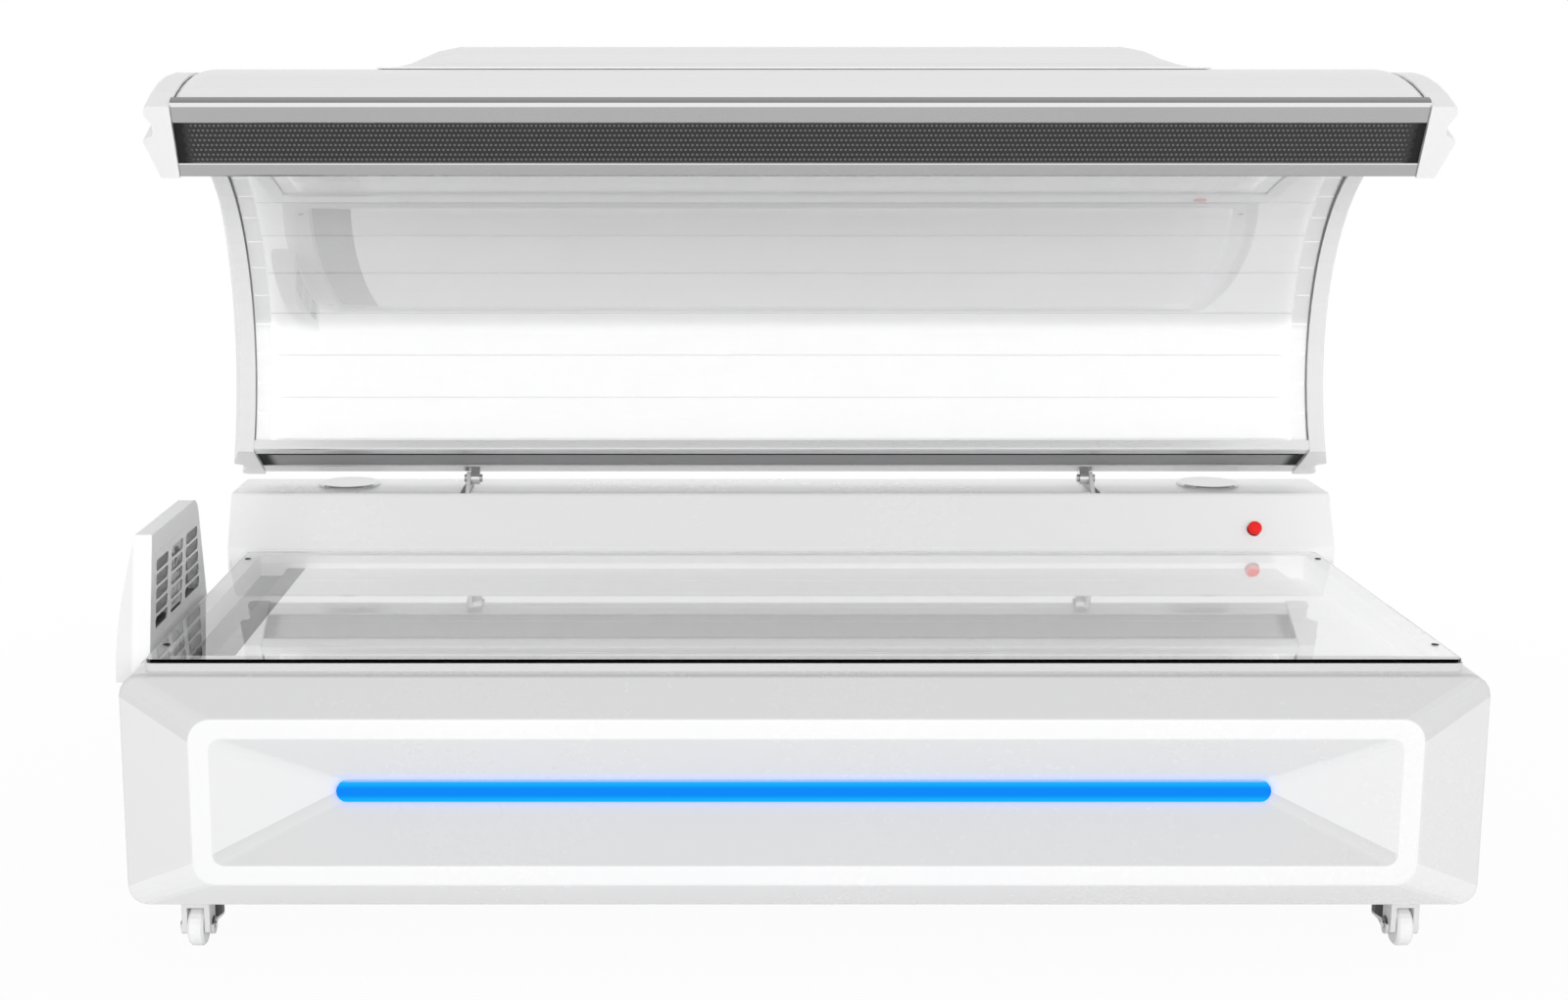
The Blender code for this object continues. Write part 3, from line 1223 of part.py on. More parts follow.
for label, side in (("left", -1), ("right", 1)):
    section = [(side * (cap_face + out), INNER_RADIUS + up) for out, up in cap_outer]
    cap = add_piece(f"end_cap_{label}", sweep(section, cap_start, cap_stop, CAP_STEPS), WHITE, canopy)
    section = [(side * (cap_face + out), INNER_RADIUS + up) for out, up in cap_hollow]
    combine(cap, sweep(section, cap_start + cap_end, cap_stop - cap_end, CAP_STEPS))

# End profiles and mesh bands across the front and rear end faces
for label, front in (("front", True), ("rear", False)):
    corners = [
        (PROFILE_IN, 0),
        (PROFILE_OUT, 0),
        (PROFILE_OUT, PROFILE_LIP),
        (PROFILE_TONGUE, PROFILE_LIP),
        (PROFILE_TONGUE, PROFILE_DEPTH),
        (PROFILE_IN, PROFILE_DEPTH),
    ]
    outline = fillet(corners, (PROFILE_EASE, PROFILE_ROUND, 0, 0, 0, 0), 4)
    section = [end_point(radius, depth, front) for radius, depth in outline]
    add_piece(f"{label}_outer_profile", prism(section, "X", -CANOPY_HALF, CANOPY_HALF), ALUMINIUM, canopy)
    groove_in = GLAZING_IN - GLAZING_CLEARANCE
    groove_out = GLAZING_OUT + GLAZING_CLEARANCE
    groove_depth = INNER_PROFILE_DEPTH - GLAZING_GROOVE
    corners = [
        (INNER_RADIUS, 0),
        (INNER_PROFILE_OUT, 0),
        (INNER_PROFILE_OUT, INNER_PROFILE_DEPTH),
        (groove_out, INNER_PROFILE_DEPTH),
        (groove_out, groove_depth),
        (groove_in, groove_depth),
        (groove_in, INNER_PROFILE_DEPTH),
        (INNER_RADIUS, INNER_PROFILE_DEPTH),
    ]
    outline = fillet(corners, (2 * PROFILE_EASE, PROFILE_EASE, 0, 0, 0, 0, 0, 0), 3)
    section = [end_point(radius, depth, front) for radius, depth in outline]
    add_piece(f"{label}_inner_profile", prism(section, "X", -CANOPY_HALF, CANOPY_HALF), ALUMINIUM, canopy)
    section = [
        end_point(radius, depth, front)
        for radius, depth in (
            (INNER_PROFILE_OUT + CLEARANCE, MESH_RECESS),
            (PROFILE_IN - CLEARANCE, MESH_RECESS),
            (PROFILE_IN - CLEARANCE, MESH_RECESS + MESH_THICKNESS),
            (INNER_PROFILE_OUT + CLEARANCE, MESH_RECESS + MESH_THICKNESS),
        )
    ]
    add_piece(f"{label}_mesh", prism(section, "X", -CANOPY_HALF, CANOPY_HALF), BLACK_MESH, canopy)

# Clear inner sheet, held in the grooves of the inner profiles
glazing_angle = (INNER_PROFILE_DEPTH - GLAZING_GROOVE + CLEARANCE) / GLAZING_IN
glazing_section = [
    (-CANOPY_HALF, GLAZING_IN),
    (CANOPY_HALF, GLAZING_IN),
    (CANOPY_HALF, GLAZING_OUT),
    (-CANOPY_HALF, GLAZING_OUT),
]
glazing_bm = sweep(glazing_section, REAR_ANGLE + glazing_angle, FRONT_ANGLE - glazing_angle, ARC_STEPS)
add_piece("canopy_sheet", glazing_bm, CLEAR, canopy)

# Light boards behind the sheet, with seams, and a light strip along each end
light_start = REAR_ANGLE + LIGHT_END_GAP / LIGHT_IN
light_stop = FRONT_ANGLE - LIGHT_END_GAP / LIGHT_IN
seam_count = int((FRONT_ANGLE - LIGHT_FIRST - light_start) / LIGHT_PITCH)
seams = [FRONT_ANGLE - LIGHT_FIRST - LIGHT_PITCH * i for i in range(seam_count + 1)]
seams = [seam for seam in seams if seam - light_start > LIGHT_SEAM / LIGHT_IN]
seam_depth = LIGHT_THICKNESS / 3
light_section = seamed_arc(LIGHT_IN, LIGHT_OUT, light_start, light_stop, seams, LIGHT_SEAM, seam_depth)
strip_outer = CANOPY_HALF - SIDE_LIGHT_GAP
strip_inner = strip_outer - SIDE_LIGHT_WIDTH
add_piece("canopy_led_panel", prism(light_section, "X", -strip_outer, strip_outer), LIGHT_WHITE, canopy)
strip_in = GLAZING_OUT + CLEARANCE
strip_out = strip_in + SIDE_LIGHT_THICKNESS
strip_start = REAR_ANGLE + (INNER_PROFILE_DEPTH + CLEARANCE) / strip_in
strip_stop = FRONT_ANGLE - (INNER_PROFILE_DEPTH + CLEARANCE) / strip_in
strip_count = int((strip_stop - strip_start) / SIDE_LIGHT_PITCH)
strip_pitch = (strip_stop - strip_start) / strip_count
seams = [strip_start + strip_pitch * i for i in range(1, strip_count)]
strip_section = seamed_arc(strip_in, strip_out, strip_start, strip_stop, seams, LIGHT_SEAM, LIGHT_SEAM)
for label, side in (("left", -1), ("right", 1)):
    bm = prism(strip_section, "X", side * strip_inner, side * strip_outer)
    add_piece(f"canopy_side_led_{label}", bm, LIGHT_WHITE, canopy)

# Ribs between the light boards and the shell, and the light driver
rib_in = LIGHT_OUT + CLEARANCE
rib_out = SHELL_INNER - 2 * CLEARANCE
rib_angle = (PROFILE_DEPTH + CLEARANCE) / PROFILE_IN
rib_steps = ARC_STEPS // 2
rib_in /= cos((FRONT_ANGLE - REAR_ANGLE - 2 * rib_angle) / rib_steps / 2)
for label, side in (("left", -1), ("right", 1)):
    middle = side * (lug_inner + lug_outer) / 2
    low, high = middle - RIB_THICKNESS / 2, middle + RIB_THICKNESS / 2
    section = [(low, rib_in), (high, rib_in), (high, rib_out), (low, rib_out)]
    bm = sweep(section, REAR_ANGLE + rib_angle, FRONT_ANGLE - rib_angle, rib_steps)
    add_piece(f"canopy_rib_{label}", bm, DARK_STEEL, canopy)
driver_angle = (REAR_ANGLE + FRONT_ANGLE) / 2
driver_y, driver_z = polar(LIGHT_OUT + CLEARANCE, driver_angle)
driver_outline = rounded_rectangle(DRIVER_LENGTH / 2, DRIVER_DEPTH / 2, 0.05 * DRIVER_DEPTH, steps=2)
driver_bm = prism(driver_outline, "Z", 0, DRIVER_HEIGHT)
driver_spot = (DRIVER_X, driver_y, driver_z)
add_piece("canopy_driver", driver_bm, STEEL, canopy, driver_spot, (driver_angle - pi / 2, 0, 0))

# Origin on the floor, under the middle of the bed's bounds
graph = bpy.context.evaluated_depsgraph_get()
corners = []
for item in bpy.context.scene.objects:
    if item.type == "MESH" and not item.hide_render:
        shape = item.evaluated_get(graph)
        corners += [shape.matrix_world @ Vector(corner) for corner in shape.bound_box]
for axis in (0, 1):
    values = [corner[axis] for corner in corners]
    bed.location[axis] = -(min(values) + max(values)) / 2
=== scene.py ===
"""Looks of the red light therapy bed: finishes, mesh sheets, screws, fillers, stage, light and camera.

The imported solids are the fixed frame, in metres. Finishes read Object coordinates, which are the
bed's own place in that frame, so a pattern keeps its scale on every piece.
"""

from math import cos, pi, radians, sin

import bmesh
import bpy
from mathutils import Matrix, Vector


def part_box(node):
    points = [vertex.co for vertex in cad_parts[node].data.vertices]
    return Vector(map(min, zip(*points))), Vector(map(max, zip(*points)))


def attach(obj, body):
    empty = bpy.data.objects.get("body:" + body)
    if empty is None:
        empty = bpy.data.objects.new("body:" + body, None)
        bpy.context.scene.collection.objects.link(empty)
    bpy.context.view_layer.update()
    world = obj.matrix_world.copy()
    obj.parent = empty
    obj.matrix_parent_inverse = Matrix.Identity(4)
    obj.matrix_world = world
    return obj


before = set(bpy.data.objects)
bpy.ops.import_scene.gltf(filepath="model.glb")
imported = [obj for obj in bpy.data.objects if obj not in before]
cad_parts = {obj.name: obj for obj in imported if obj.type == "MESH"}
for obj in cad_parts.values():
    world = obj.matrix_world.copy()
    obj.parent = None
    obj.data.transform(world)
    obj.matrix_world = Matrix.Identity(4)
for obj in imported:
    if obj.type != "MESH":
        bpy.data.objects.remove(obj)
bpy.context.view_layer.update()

# Places read from the solids
base_low, base_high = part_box("base_cover")
panel_low, panel_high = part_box("front_panel")
sheet_low, sheet_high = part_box("lying_sheet")
boards_low, boards_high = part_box("lower_led_panel")
strip_low, strip_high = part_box("light_strip")
box_low, box_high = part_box("rear_box")
grille_low, grille_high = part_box("vent_grille")
mesh_low, mesh_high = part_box("front_mesh")
glazing_low, glazing_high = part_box("canopy_sheet")
MIDDLE_X = (base_low.x + base_high.x) / 2
PANEL_Z = (panel_low.z + panel_high.z) / 2
STRIP_Z = (strip_low.z + strip_high.z) / 2
STRIP_HALF = (strip_high.z - strip_low.z) / 2
STRIP_REACH = (strip_high.x - strip_low.x) / 2

# Canopy: its axis runs along X, and its ends lie on two planes through that axis
CANOPY_Y = 0.0061
CANOPY_Z = 0.9000
FRONT_ANGLE = radians(116.4)
REAR_ANGLE = radians(-28.5)
MESH_INNER = 0.4300
MESH_OUTER = 0.5050
MESH_FACE = 0.0040
PROFILE_TOP = 0.5418
PROFILE_ROUND = 0.5350
PROFILE_LEVEL = 0.46
INNER_OUT = 0.4302
INNER_LIP = 0.4276
INNER_EDGE = 0.4056
BOARD_FACE = 0.4326
# Heights between which the canopy boards' painted glow grows dimmer, and the felt's distance from the middle
# as it darkens
DIM_FROM = 0.935
DIM_TO = 0.965
BAND_DARK_FROM = 1.012
BAND_DARK_TO = 1.034

# Front panel ring, as half sizes from the middle of the panel
RING_HALF_LENGTH = 0.978
RING_HALF_HEIGHT = 0.1372
RING_CORNER = 0.037
RING_WIDTH = 0.0316
RECESS_CORNER = 0.020
# Width of the strip's blue glow painted on the panel, and the tilt from which a face counts as turned up or
# down for its painted shade
SPILL = 0.022
TILT_FROM = 0.02
TILT_TO = 0.06

# Light tray: heights of its floor and rim, and length of the black strip at the left end of its boards
TRAY_FLOOR = 0.4585
TRAY_RIM = sheet_low.z - 0.0137
BLACK_END = 0.035

# Vent: place and lean of its grille's face, the pocket behind it, and where its greyer back starts
VENT_FOOT = 0.021
VENT_SLOPE = 0.0125 / 0.2043
POCKET_DEPTH = 0.0240
POCKET_SLANT = 0.26
POCKET_MARGIN = 0.0006
VENT_BACK = 0.026

# Casters: half width, back face and lower edge of the dark part of the bell
BELL_HALF = 0.0236
BELL_BACK = 0.0010
BELL_LOW = 0.0300
BELL_SLOPE = 0.35

# Mesh sheets over the two bands
HOLE_PITCH = 0.0077
HOLE_ROW = 0.0090
HOLE_RADIUS = 0.0023
HOLE_ROWS = 8
SHEET_METAL = 0.0007
SHEET_LIFT = 0.0002
MESH_END = 0.012

# Filler strips that close the corner between the base's round shoulders and the rear box
SHOULDER = 0.032
FILLER_GAP = 0.0004

# Screws that hold the lying sheet
SCREW_RADIUS = 0.0062
SCREW_HEIGHT = 0.0008
SCREW_INSET = 0.013
SCREW_REAR = 0.068
SCREW_FRONT = 0.097

# Even light of the room: overhead, and low down ahead of the bed and behind it
ROOM_ABOVE = 0.66
ROOM_AHEAD = 1.00
ROOM_BEHIND = 0.55
# Where the floor's faint shadow fades into the white, as distances from the middle
FADE_FROM = 1.2
FADE_TO = 3.2
FLOOR_WHITE = 0.95

# Refraction indices, and strengths of the painted glows
PLASTIC_IOR = 1.46
BOARD_IOR = 1.45
CLEAR_IOR = 1.49
MIRROR_IOR = 2.2
SPILL_PAINTED_GLOW = 0.14
TRAY_PAINTED_GLOW = 0.45
BOARD_PAINTED_GLOW = 0.28
CANOPY_PAINTED_GLOW = 0.45

CLOUD_SIZE = 0.35
SMOOTH_ANGLE = radians(35)
# Width of a soft edge between two colours
EDGE = 0.0004


class Shade:
    """A value in a finish. Arithmetic on it adds Math nodes, and node() adds any other node."""

    def __init__(self, tree, socket=None):
        self.tree = tree
        self.socket = socket

    def feed(self, socket, value):
        if isinstance(value, Shade):
            self.tree.links.new(value.socket, socket)
        else:
            socket.default_value = value

    def node(self, kind, settings=None, inputs=None, output=0):
        made = self.tree.nodes.new(kind)
        for name, value in (settings or {}).items():
            setattr(made, name, value)
        for name, value in (inputs or {}).items():
            self.feed(made.inputs[name], value)
        return Shade(self.tree, made.outputs[output])

    def math(self, operation, *values):
        return self.node("ShaderNodeMath", {"operation": operation}, dict(enumerate(values)))

    def __add__(self, other):
        return self.math("ADD", self, other)

    def __radd__(self, other):
        return self.math("ADD", other, self)

    def __sub__(self, other):
        return self.math("SUBTRACT", self, other)

    def __rsub__(self, other):
        return self.math("SUBTRACT", other, self)

    def __mul__(self, other):
        return self.math("MULTIPLY", self, other)

    def __rmul__(self, other):
        return self.math("MULTIPLY", other, self)

    def __truediv__(self, other):
        return self.math("DIVIDE", self, other)

    def __abs__(self):
        return self.math("ABSOLUTE", self)

    def at_least(self, least):
        return self.math("MAXIMUM", self, least)

    def at_most(self, most):
        return self.math("MINIMUM", self, most)

    def rise(self, start, end):
        """0 before start, 1 after end, smooth between them."""
        spans = {"Value": self, "From Min": start, "From Max": end, "To Min": 0.0, "To Max": 1.0}
        return self.node("ShaderNodeMapRange", {"interpolation_type": "SMOOTHSTEP"}, spans)

    def within(self, start, end):
        """1 from start to end, with a soft edge outside both."""
        return self.rise(start - EDGE, start) * (1.0 - self.rise(end, end + EDGE))

    def blend(self, first, second):
        """The first colour where this value is 0, the second where it is 1."""
        return self.node("ShaderNodeMix", {"data_type": "RGBA"}, {0: self, 6: first, 7: second}, 2)

    def place(self, scale=(1, 1, 1)):
        """Object coordinates, stretched."""
        spot = self.node("ShaderNodeTexCoord", output="Object")
        if scale == (1, 1, 1):
            return spot
        return self.node("ShaderNodeMapping", {}, {"Vector": spot, "Scale": scale})

    def along(self, axis):
        return self.node("ShaderNodeSeparateXYZ", {}, {"Vector": self.place()}, axis)

    def noise(self, size, detail=3.0, stretch=(1, 1, 1)):
        """Cloudy variation about 0.5, with lumps of the given size in metres."""
        sockets = {"Vector": self.place(stretch), "Scale": 1 / size, "Detail": detail}
        return self.node("ShaderNodeTexNoise", {}, sockets)

    def bump(self, height, depth, strength):
        sockets = {"Height": height, "Distance": depth, "Strength": strength}
        return self.node("ShaderNodeBump", {}, sockets)


def grey(level):
    return (level, level, level * 1.004, 1.0)


def new_finish(name, fixed, paint):
    """A material: fixed values on the shader's sockets, and the varying ones that paint returns."""
    material = bpy.data.materials.new(name)
    material.use_nodes = True
    tree = material.node_tree
    shader = tree.nodes["Principled BSDF"]
    for socket, value in fixed.items():
        shader.inputs[socket].default_value = value
    shade = Shade(tree)
    for socket, value in paint(shade).items():
        shade.feed(shader.inputs[socket], value)
    return material


def cloudy(cloud, colour):
    """A colour that a cloud value makes a little darker and lighter."""
    darker = tuple(c * 0.990 for c in colour[:3]) + (1.0,)
    lighter = tuple(min(c * 1.010, 1.0) for c in colour[:3]) + (1.0,)
    return cloud.blend(darker, lighter)


def moulded_skin(shade, colour, gloss):
    """Moulded plastic: a faint cloudiness, uneven gloss and a very fine orange peel."""
    cloud = shade.noise(CLOUD_SIZE, 2.0)
    mottle = shade.noise(0.02, 4.0)
    peel = shade.noise(0.006, 2.0)
    return {
        "Base Color": cloudy(cloud, colour),
        "Roughness": gloss + (mottle - 0.5) * 0.02 + (cloud - 0.5) * 0.03,
        "Normal": shade.bump(peel, 0.00002, 0.04),
    }


BODY = grey(0.87)
# Rear box, vent and fillers: the body's white painted lighter, as painted light
BOX_PAINTED_LIGHT = grey(0.97)
# Front panel tones are painted light and shade: slopes darker than the body, the ring lighter, the recess
# darker
SLOPE_PAINTED_SHADE = grey(0.80)
SLOPE_UP_PAINTED_SHADE = grey(0.695)
SLOPE_DOWN_PAINTED_LIGHT = grey(0.87)
RING_PAINTED_LIGHT = grey(0.91)
RECESS_PAINTED_SHADE = grey(0.83)
RECESS_UP_PAINTED_SHADE = grey(0.70)
BLACK = grey(0.004)
SEAM = grey(0.70)
DARK = grey(0.0)
SPILL_PAINTED_BLUE = (0.02, 0.14, 1.0, 1.0)


def plastic(name, colour, gloss):
    return new_finish(name, {"IOR": PLASTIC_IOR}, lambda shade: moulded_skin(shade, colour, gloss))


def panel_mask(shade, inset, corner):
    """1 inside a rounded rectangle that lies within the ring's outer edge by the inset, else 0."""
    across = (abs(shade.along("X") - MIDDLE_X) - (RING_HALF_LENGTH - inset - corner)).at_least(0.0)
    up = (abs(shade.along("Z") - PANEL_Z) - (RING_HALF_HEIGHT - inset - corner)).at_least(0.0)
    reach = shade.math("SQRT", across * across + up * up)
    return 1.0 - reach.rise(corner - 0.0012, corner + 0.0008)


def strip_reach(shade):
    """Distance from the edge of the light strip, whose ends are round."""
    across = (abs(shade.along("X") - MIDDLE_X) - (STRIP_REACH - STRIP_HALF)).at_least(0.0)
    up = shade.along("Z") - STRIP_Z
    return shade.math("SQRT", across * across + up * up) - STRIP_HALF


def front_paint(shade):
    """Front panel with painted light and shade: the ring painted whiter than the sloped surround, faces
    tilted up painted darker and faces tilted down lighter, the recess painted darker, and the strip's blue
    light painted around it as a glow.
    """
    skin = moulded_skin(shade, SLOPE_PAINTED_SHADE, 0.27)
    cloud = shade.noise(CLOUD_SIZE, 2.0)
    facing = shade.node("ShaderNodeNewGeometry", output="True Normal")
    tilt = shade.node("ShaderNodeSeparateXYZ", {}, {"Vector": facing}, "Z")
    raised = tilt.rise(TILT_FROM, TILT_TO)
    lowered = (tilt * -1.0).rise(TILT_FROM, TILT_TO)
    # Painted shade by tilt: faces turned up darker, faces turned down lighter
    sides = lowered.blend(skin["Base Color"], cloudy(cloud, SLOPE_DOWN_PAINTED_LIGHT))
    slope_painted_shade = raised.blend(sides, cloudy(cloud, SLOPE_UP_PAINTED_SHADE))
    # Painted shade in the recess, darker on its faces turned up
    hollow = raised.blend(cloudy(cloud, RECESS_PAINTED_SHADE), cloudy(cloud, RECESS_UP_PAINTED_SHADE))
    ringed = panel_mask(shade, 0, RING_CORNER).blend(slope_painted_shade, cloudy(cloud, RING_PAINTED_LIGHT))
    skin["Base Color"] = panel_mask(shade, RING_WIDTH, RECESS_CORNER).blend(ringed, hollow)
    # Painted glow: the strip's blue light painted on the panel beside it
    spill = 1.0 - strip_reach(shade).rise(0.0, SPILL)
    skin["Emission Color"] = spill.blend(DARK, SPILL_PAINTED_BLUE)
    return skin


def tray_paint(shade):
    """White tray with the boards' light painted on its inner walls and on its right and rear rims as a faint
    glow, a greyer front lip and a black floor left of the boards.
    """
    skin = moulded_skin(shade, grey(0.88), 0.40)
    across, deep, up = shade.along("X"), shade.along("Y"), shade.along("Z")
    left = 1.0 - across.rise(boards_low.x - 0.004, boards_low.x + 0.010)
    low = 1.0 - up.rise(TRAY_FLOOR - 0.001, TRAY_FLOOR + 0.001)
    inside = deep.rise(boards_low.y - 0.012, boards_low.y - 0.010)
    dark = left * low * inside
    whole = inside.blend(grey(0.70), skin["Base Color"])
    skin["Base Color"] = dark.blend(whole, BLACK)
    skin["Roughness"] = skin["Roughness"] * (1.0 - dark) + dark
    under = 1.0 - up.rise(TRAY_RIM - 0.003, TRAY_RIM - 0.001)
    # Painted glow: the boards' light painted on the tray's inner walls and on its right and rear rims
    glow = across.rise(boards_low.x - 0.020, boards_low.x + 0.050) * under * inside
    right = across.rise(boards_high.x - 0.020, boards_high.x + 0.005)
    rear = deep.rise(boards_high.y - 0.010, boards_high.y + 0.010)
    rim = right.at_least(rear * 0.45) * (1.0 - under) * inside
    skin["Emission Color"] = (glow.at_least(rim) * 0.60).blend(DARK, grey(1.0))
    return skin


def vent_paint(shade):
    """White vent: a little greyer at the back, grey in its slots and in the pocket behind them."""
    skin = moulded_skin(shade, BOX_PAINTED_LIGHT, 0.30)
    deep, up = shade.along("Y"), shade.along("Z")
    face = (up - base_high.z) * VENT_SLOPE + (base_low.x + VENT_FOOT)
    depth = face - shade.along("X")
    outside = depth.rise(VENT_BACK, VENT_BACK + 0.008).blend(BOX_PAINTED_LIGHT, grey(0.86))
    rear = deep + (up - grille_low.z) * POCKET_SLANT
    pocket = (
        depth.within(0.0008, POCKET_DEPTH)
        * up.within(grille_low.z - POCKET_MARGIN, grille_high.z + POCKET_MARGIN)
        * deep.rise(grille_low.y - POCKET_MARGIN - EDGE, grille_low.y - POCKET_MARGIN)
        * (1.0 - rear.rise(grille_high.y + POCKET_MARGIN, grille_high.y + POCKET_MARGIN + EDGE))
    )
    skin["Base Color"] = pocket.blend(outside, grey(0.36))
    return skin


def fork_paint(caster):
    """Pale hood and cheeks; the upper part of the bell behind the hood is dark."""
    low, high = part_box(f"caster_{caster}_plate")
    middle = (low + high) / 2

    def paint(shade):
        skin = moulded_skin(shade, grey(0.78), 0.38)
        across = abs(shade.along("X") - middle.x)
        back = shade.along("Y") - middle.y
        outside = (across - BELL_HALF).at_least(back - BELL_BACK).rise(0.0, 0.0006)
        up = (shade.along("Z") - across * BELL_SLOPE).rise(BELL_LOW, BELL_LOW + 0.0010)
        skin["Base Color"] = (outside * up).blend(skin["Base Color"], grey(0.030))
        return skin

    return paint


def board_paint(shade):
    """White light boards: satin, with a faint weave of the board under the white and a painted white glow
    that lightens them.
    """
    cloud = shade.noise(0.12, 3.0)
    weave = shade.noise(0.004, 1.0)
    return {
        "Base Color": cloud.blend(grey(0.88), grey(0.92)),
        # Painted glow that lightens the boards
        "Emission Color": cloud.blend(grey(0.97), grey(1.0)),
        "Roughness": 0.42 + (cloud - 0.5) * 0.10,
        "Normal": shade.bump(weave, 0.00003, 0.20),
    }


def add_seams(skin, seam):
    """Grey, dimmer seams between boards, where the seam value is 1."""
    skin["Base Color"] = seam.blend(skin["Base Color"], SEAM)
    skin["Emission Color"] = (1.0 - seam * 0.45).blend(DARK, skin["Emission Color"])


def lower_board_paint(shade):
    """Lower boards: grey seams, and a black strip at the left end."""
    skin = board_paint(shade)
    add_seams(skin, 1.0 - shade.along("Z").rise(boards_high.z - 0.0012, boards_high.z - 0.0005))
    strip = 1.0 - shade.along("X").rise(boards_low.x + BLACK_END - 0.001, boards_low.x + BLACK_END)
    skin["Base Color"] = strip.blend(skin["Base Color"], BLACK)
    skin["Emission Color"] = strip.blend(skin["Emission Color"], DARK)
    return skin


def canopy_reach(shade):
    """Distance from the canopy's axis."""
    out_y = shade.along("Y") - CANOPY_Y
    out_z = shade.along("Z") - CANOPY_Z
    return shade.math("SQRT", out_y * out_y + out_z * out_z)


def canopy_board_paint(shade):
    """Canopy boards with grey seams, their painted glow brightest in the lower, rear half as a painted
    reflection.
    """
    skin = board_paint(shade)
    # Painted reflection: the glow is dimmer above DIM_FROM and brightest low down
    upper = shade.along("Z").rise(DIM_FROM, DIM_TO)
    skin["Emission Color"] = upper.blend(grey(1.0), grey(0.42))
    add_seams(skin, canopy_reach(shade).rise(BOARD_FACE + 0.0003, BOARD_FACE + 0.0010))
    return skin


def clear_paint(shade):
    """Clear acrylic: the front edge is black, and fine rubbing dulls the faces a little."""
    black = 1.0 - shade.along("Y").rise(sheet_low.y + 0.0008, sheet_low.y + 0.0012)
    rub = shade.noise(0.05, 5.0, (1, 3, 1))
    return {
        "Base Color": black.blend(grey(0.985), grey(0.002)),
        "Metallic": black,
        "Roughness": 0.004 + rub.rise(0.55, 0.9) * 0.02,
    }


def round_normal(shade):
    """Normal of a round face about the canopy's axis, without its facets; other faces keep theirs."""
    axis = (0, CANOPY_Y, CANOPY_Z)
    away = shade.node("ShaderNodeVectorMath", {"operation": "SUBTRACT"}, {0: shade.place(), 1: axis})
    flat = shade.node("ShaderNodeVectorMath", {"operation": "MULTIPLY"}, {0: away, 1: (0, 1, 1)})
    spoke = shade.node("ShaderNodeVectorMath", {"operation": "NORMALIZE"}, {0: flat})
    spaces = {"vector_type": "NORMAL", "convert_from": "OBJECT", "convert_to": "WORLD"}
    spoke = shade.node("ShaderNodeVectorTransform", spaces, {0: spoke})
    own = shade.node("ShaderNodeNewGeometry", output="Normal")
    facing = shade.node("ShaderNodeVectorMath", {"operation": "DOT_PRODUCT"}, {0: spoke, 1: own}, "Value")
    sign = shade.math("SIGN", facing)
    turned = shade.node("ShaderNodeVectorMath", {"operation": "SCALE"}, {0: spoke, "Scale": sign})
    share = abs(facing).rise(0.90, 0.95)
    return shade.node("ShaderNodeMix", {"data_type": "VECTOR"}, {0: share, 4: own, 5: turned}, 1)


def canopy_clear_paint(shade):
    """Clear acrylic with pale satin ends."""
    rub = shade.noise(0.05, 5.0, (1, 3, 3))
    half = (glazing_high.x - glazing_low.x) / 2
    end = abs(shade.along("X") - MIDDLE_X).rise(half - 0.0012, half - 0.0008)
    return {
        "Base Color": end.blend(rub.blend(grey(0.975), grey(0.99)), grey(0.80)),
        "Metallic": end,
        "Roughness": 0.004 + rub.rise(0.55, 0.9) * 0.02 + end * 0.45,
        "Normal": round_normal(shade),
    }


def let_lamps_through(material):
    """Rays from the lamps pass a clear sheet and reach what it covers."""
    tree = material.node_tree
    output = tree.nodes["Material Output"]
    shade = Shade(tree)
    lamp_ray = shade.node("ShaderNodeLightPath", output="Is Shadow Ray")
    open_air = shade.node("ShaderNodeBsdfTransparent")
    glass = Shade(tree, tree.nodes["Principled BSDF"].outputs[0])
    surface = shade.node("ShaderNodeMixShader", {}, {0: lamp_ray, 1: glass, 2: open_air})
    tree.links.new(surface.socket, output.inputs["Surface"])
    return material


def profile_paint(shade):
    """Brushed canopy edge: a satin front face, a painted dark reflection on the outer face, painted
    highlights on the round edge and on the inner profile's lip, and painted shade along the inner profile's
    lower edge.
    """
    skin = brushed_paint(PROFILE_LEVEL, 0.24)(shade)
    reach = canopy_reach(shade)
    round_edge = reach.rise(PROFILE_ROUND - 0.0006, PROFILE_ROUND + 0.0006)
    painted_dark_top = reach.rise(PROFILE_TOP - 0.0006, PROFILE_TOP + 0.0002)
    lip = reach.rise(INNER_LIP, INNER_LIP + 0.0006) * (1.0 - reach.rise(INNER_OUT, INNER_OUT + 0.0004))
    shadow_edge = 1.0 - reach.rise(INNER_EDGE, INNER_EDGE + 0.0008)
    # Painted highlights on the round edge and the lip
    painted_highlights = round_edge.at_least(lip).blend(skin["Base Color"], grey(0.86))
    # Painted dark reflection on the outer face, painted shade on the lower edge
    skin["Base Color"] = painted_dark_top.at_least(shadow_edge).blend(painted_highlights, grey(0.26))
    return skin


def brushed_paint(level, gloss, stretch=(0.02, 1, 1)):
    """Brushed metal: long fine scratches and a slow change of tone."""

    def paint(shade):
        scratch = shade.noise(0.0009, 3.0, stretch)
        cloud = shade.noise(0.25, 2.0)
        return {
            "Base Color": (scratch * 0.6 + cloud * 0.4).blend(grey(level * 0.90), grey(level * 1.10)),
            "Roughness": gloss + (scratch - 0.5) * 0.22 + (cloud - 0.5) * 0.06,
            "Normal": shade.bump(scratch, 0.00002, 0.4),
        }

    return paint


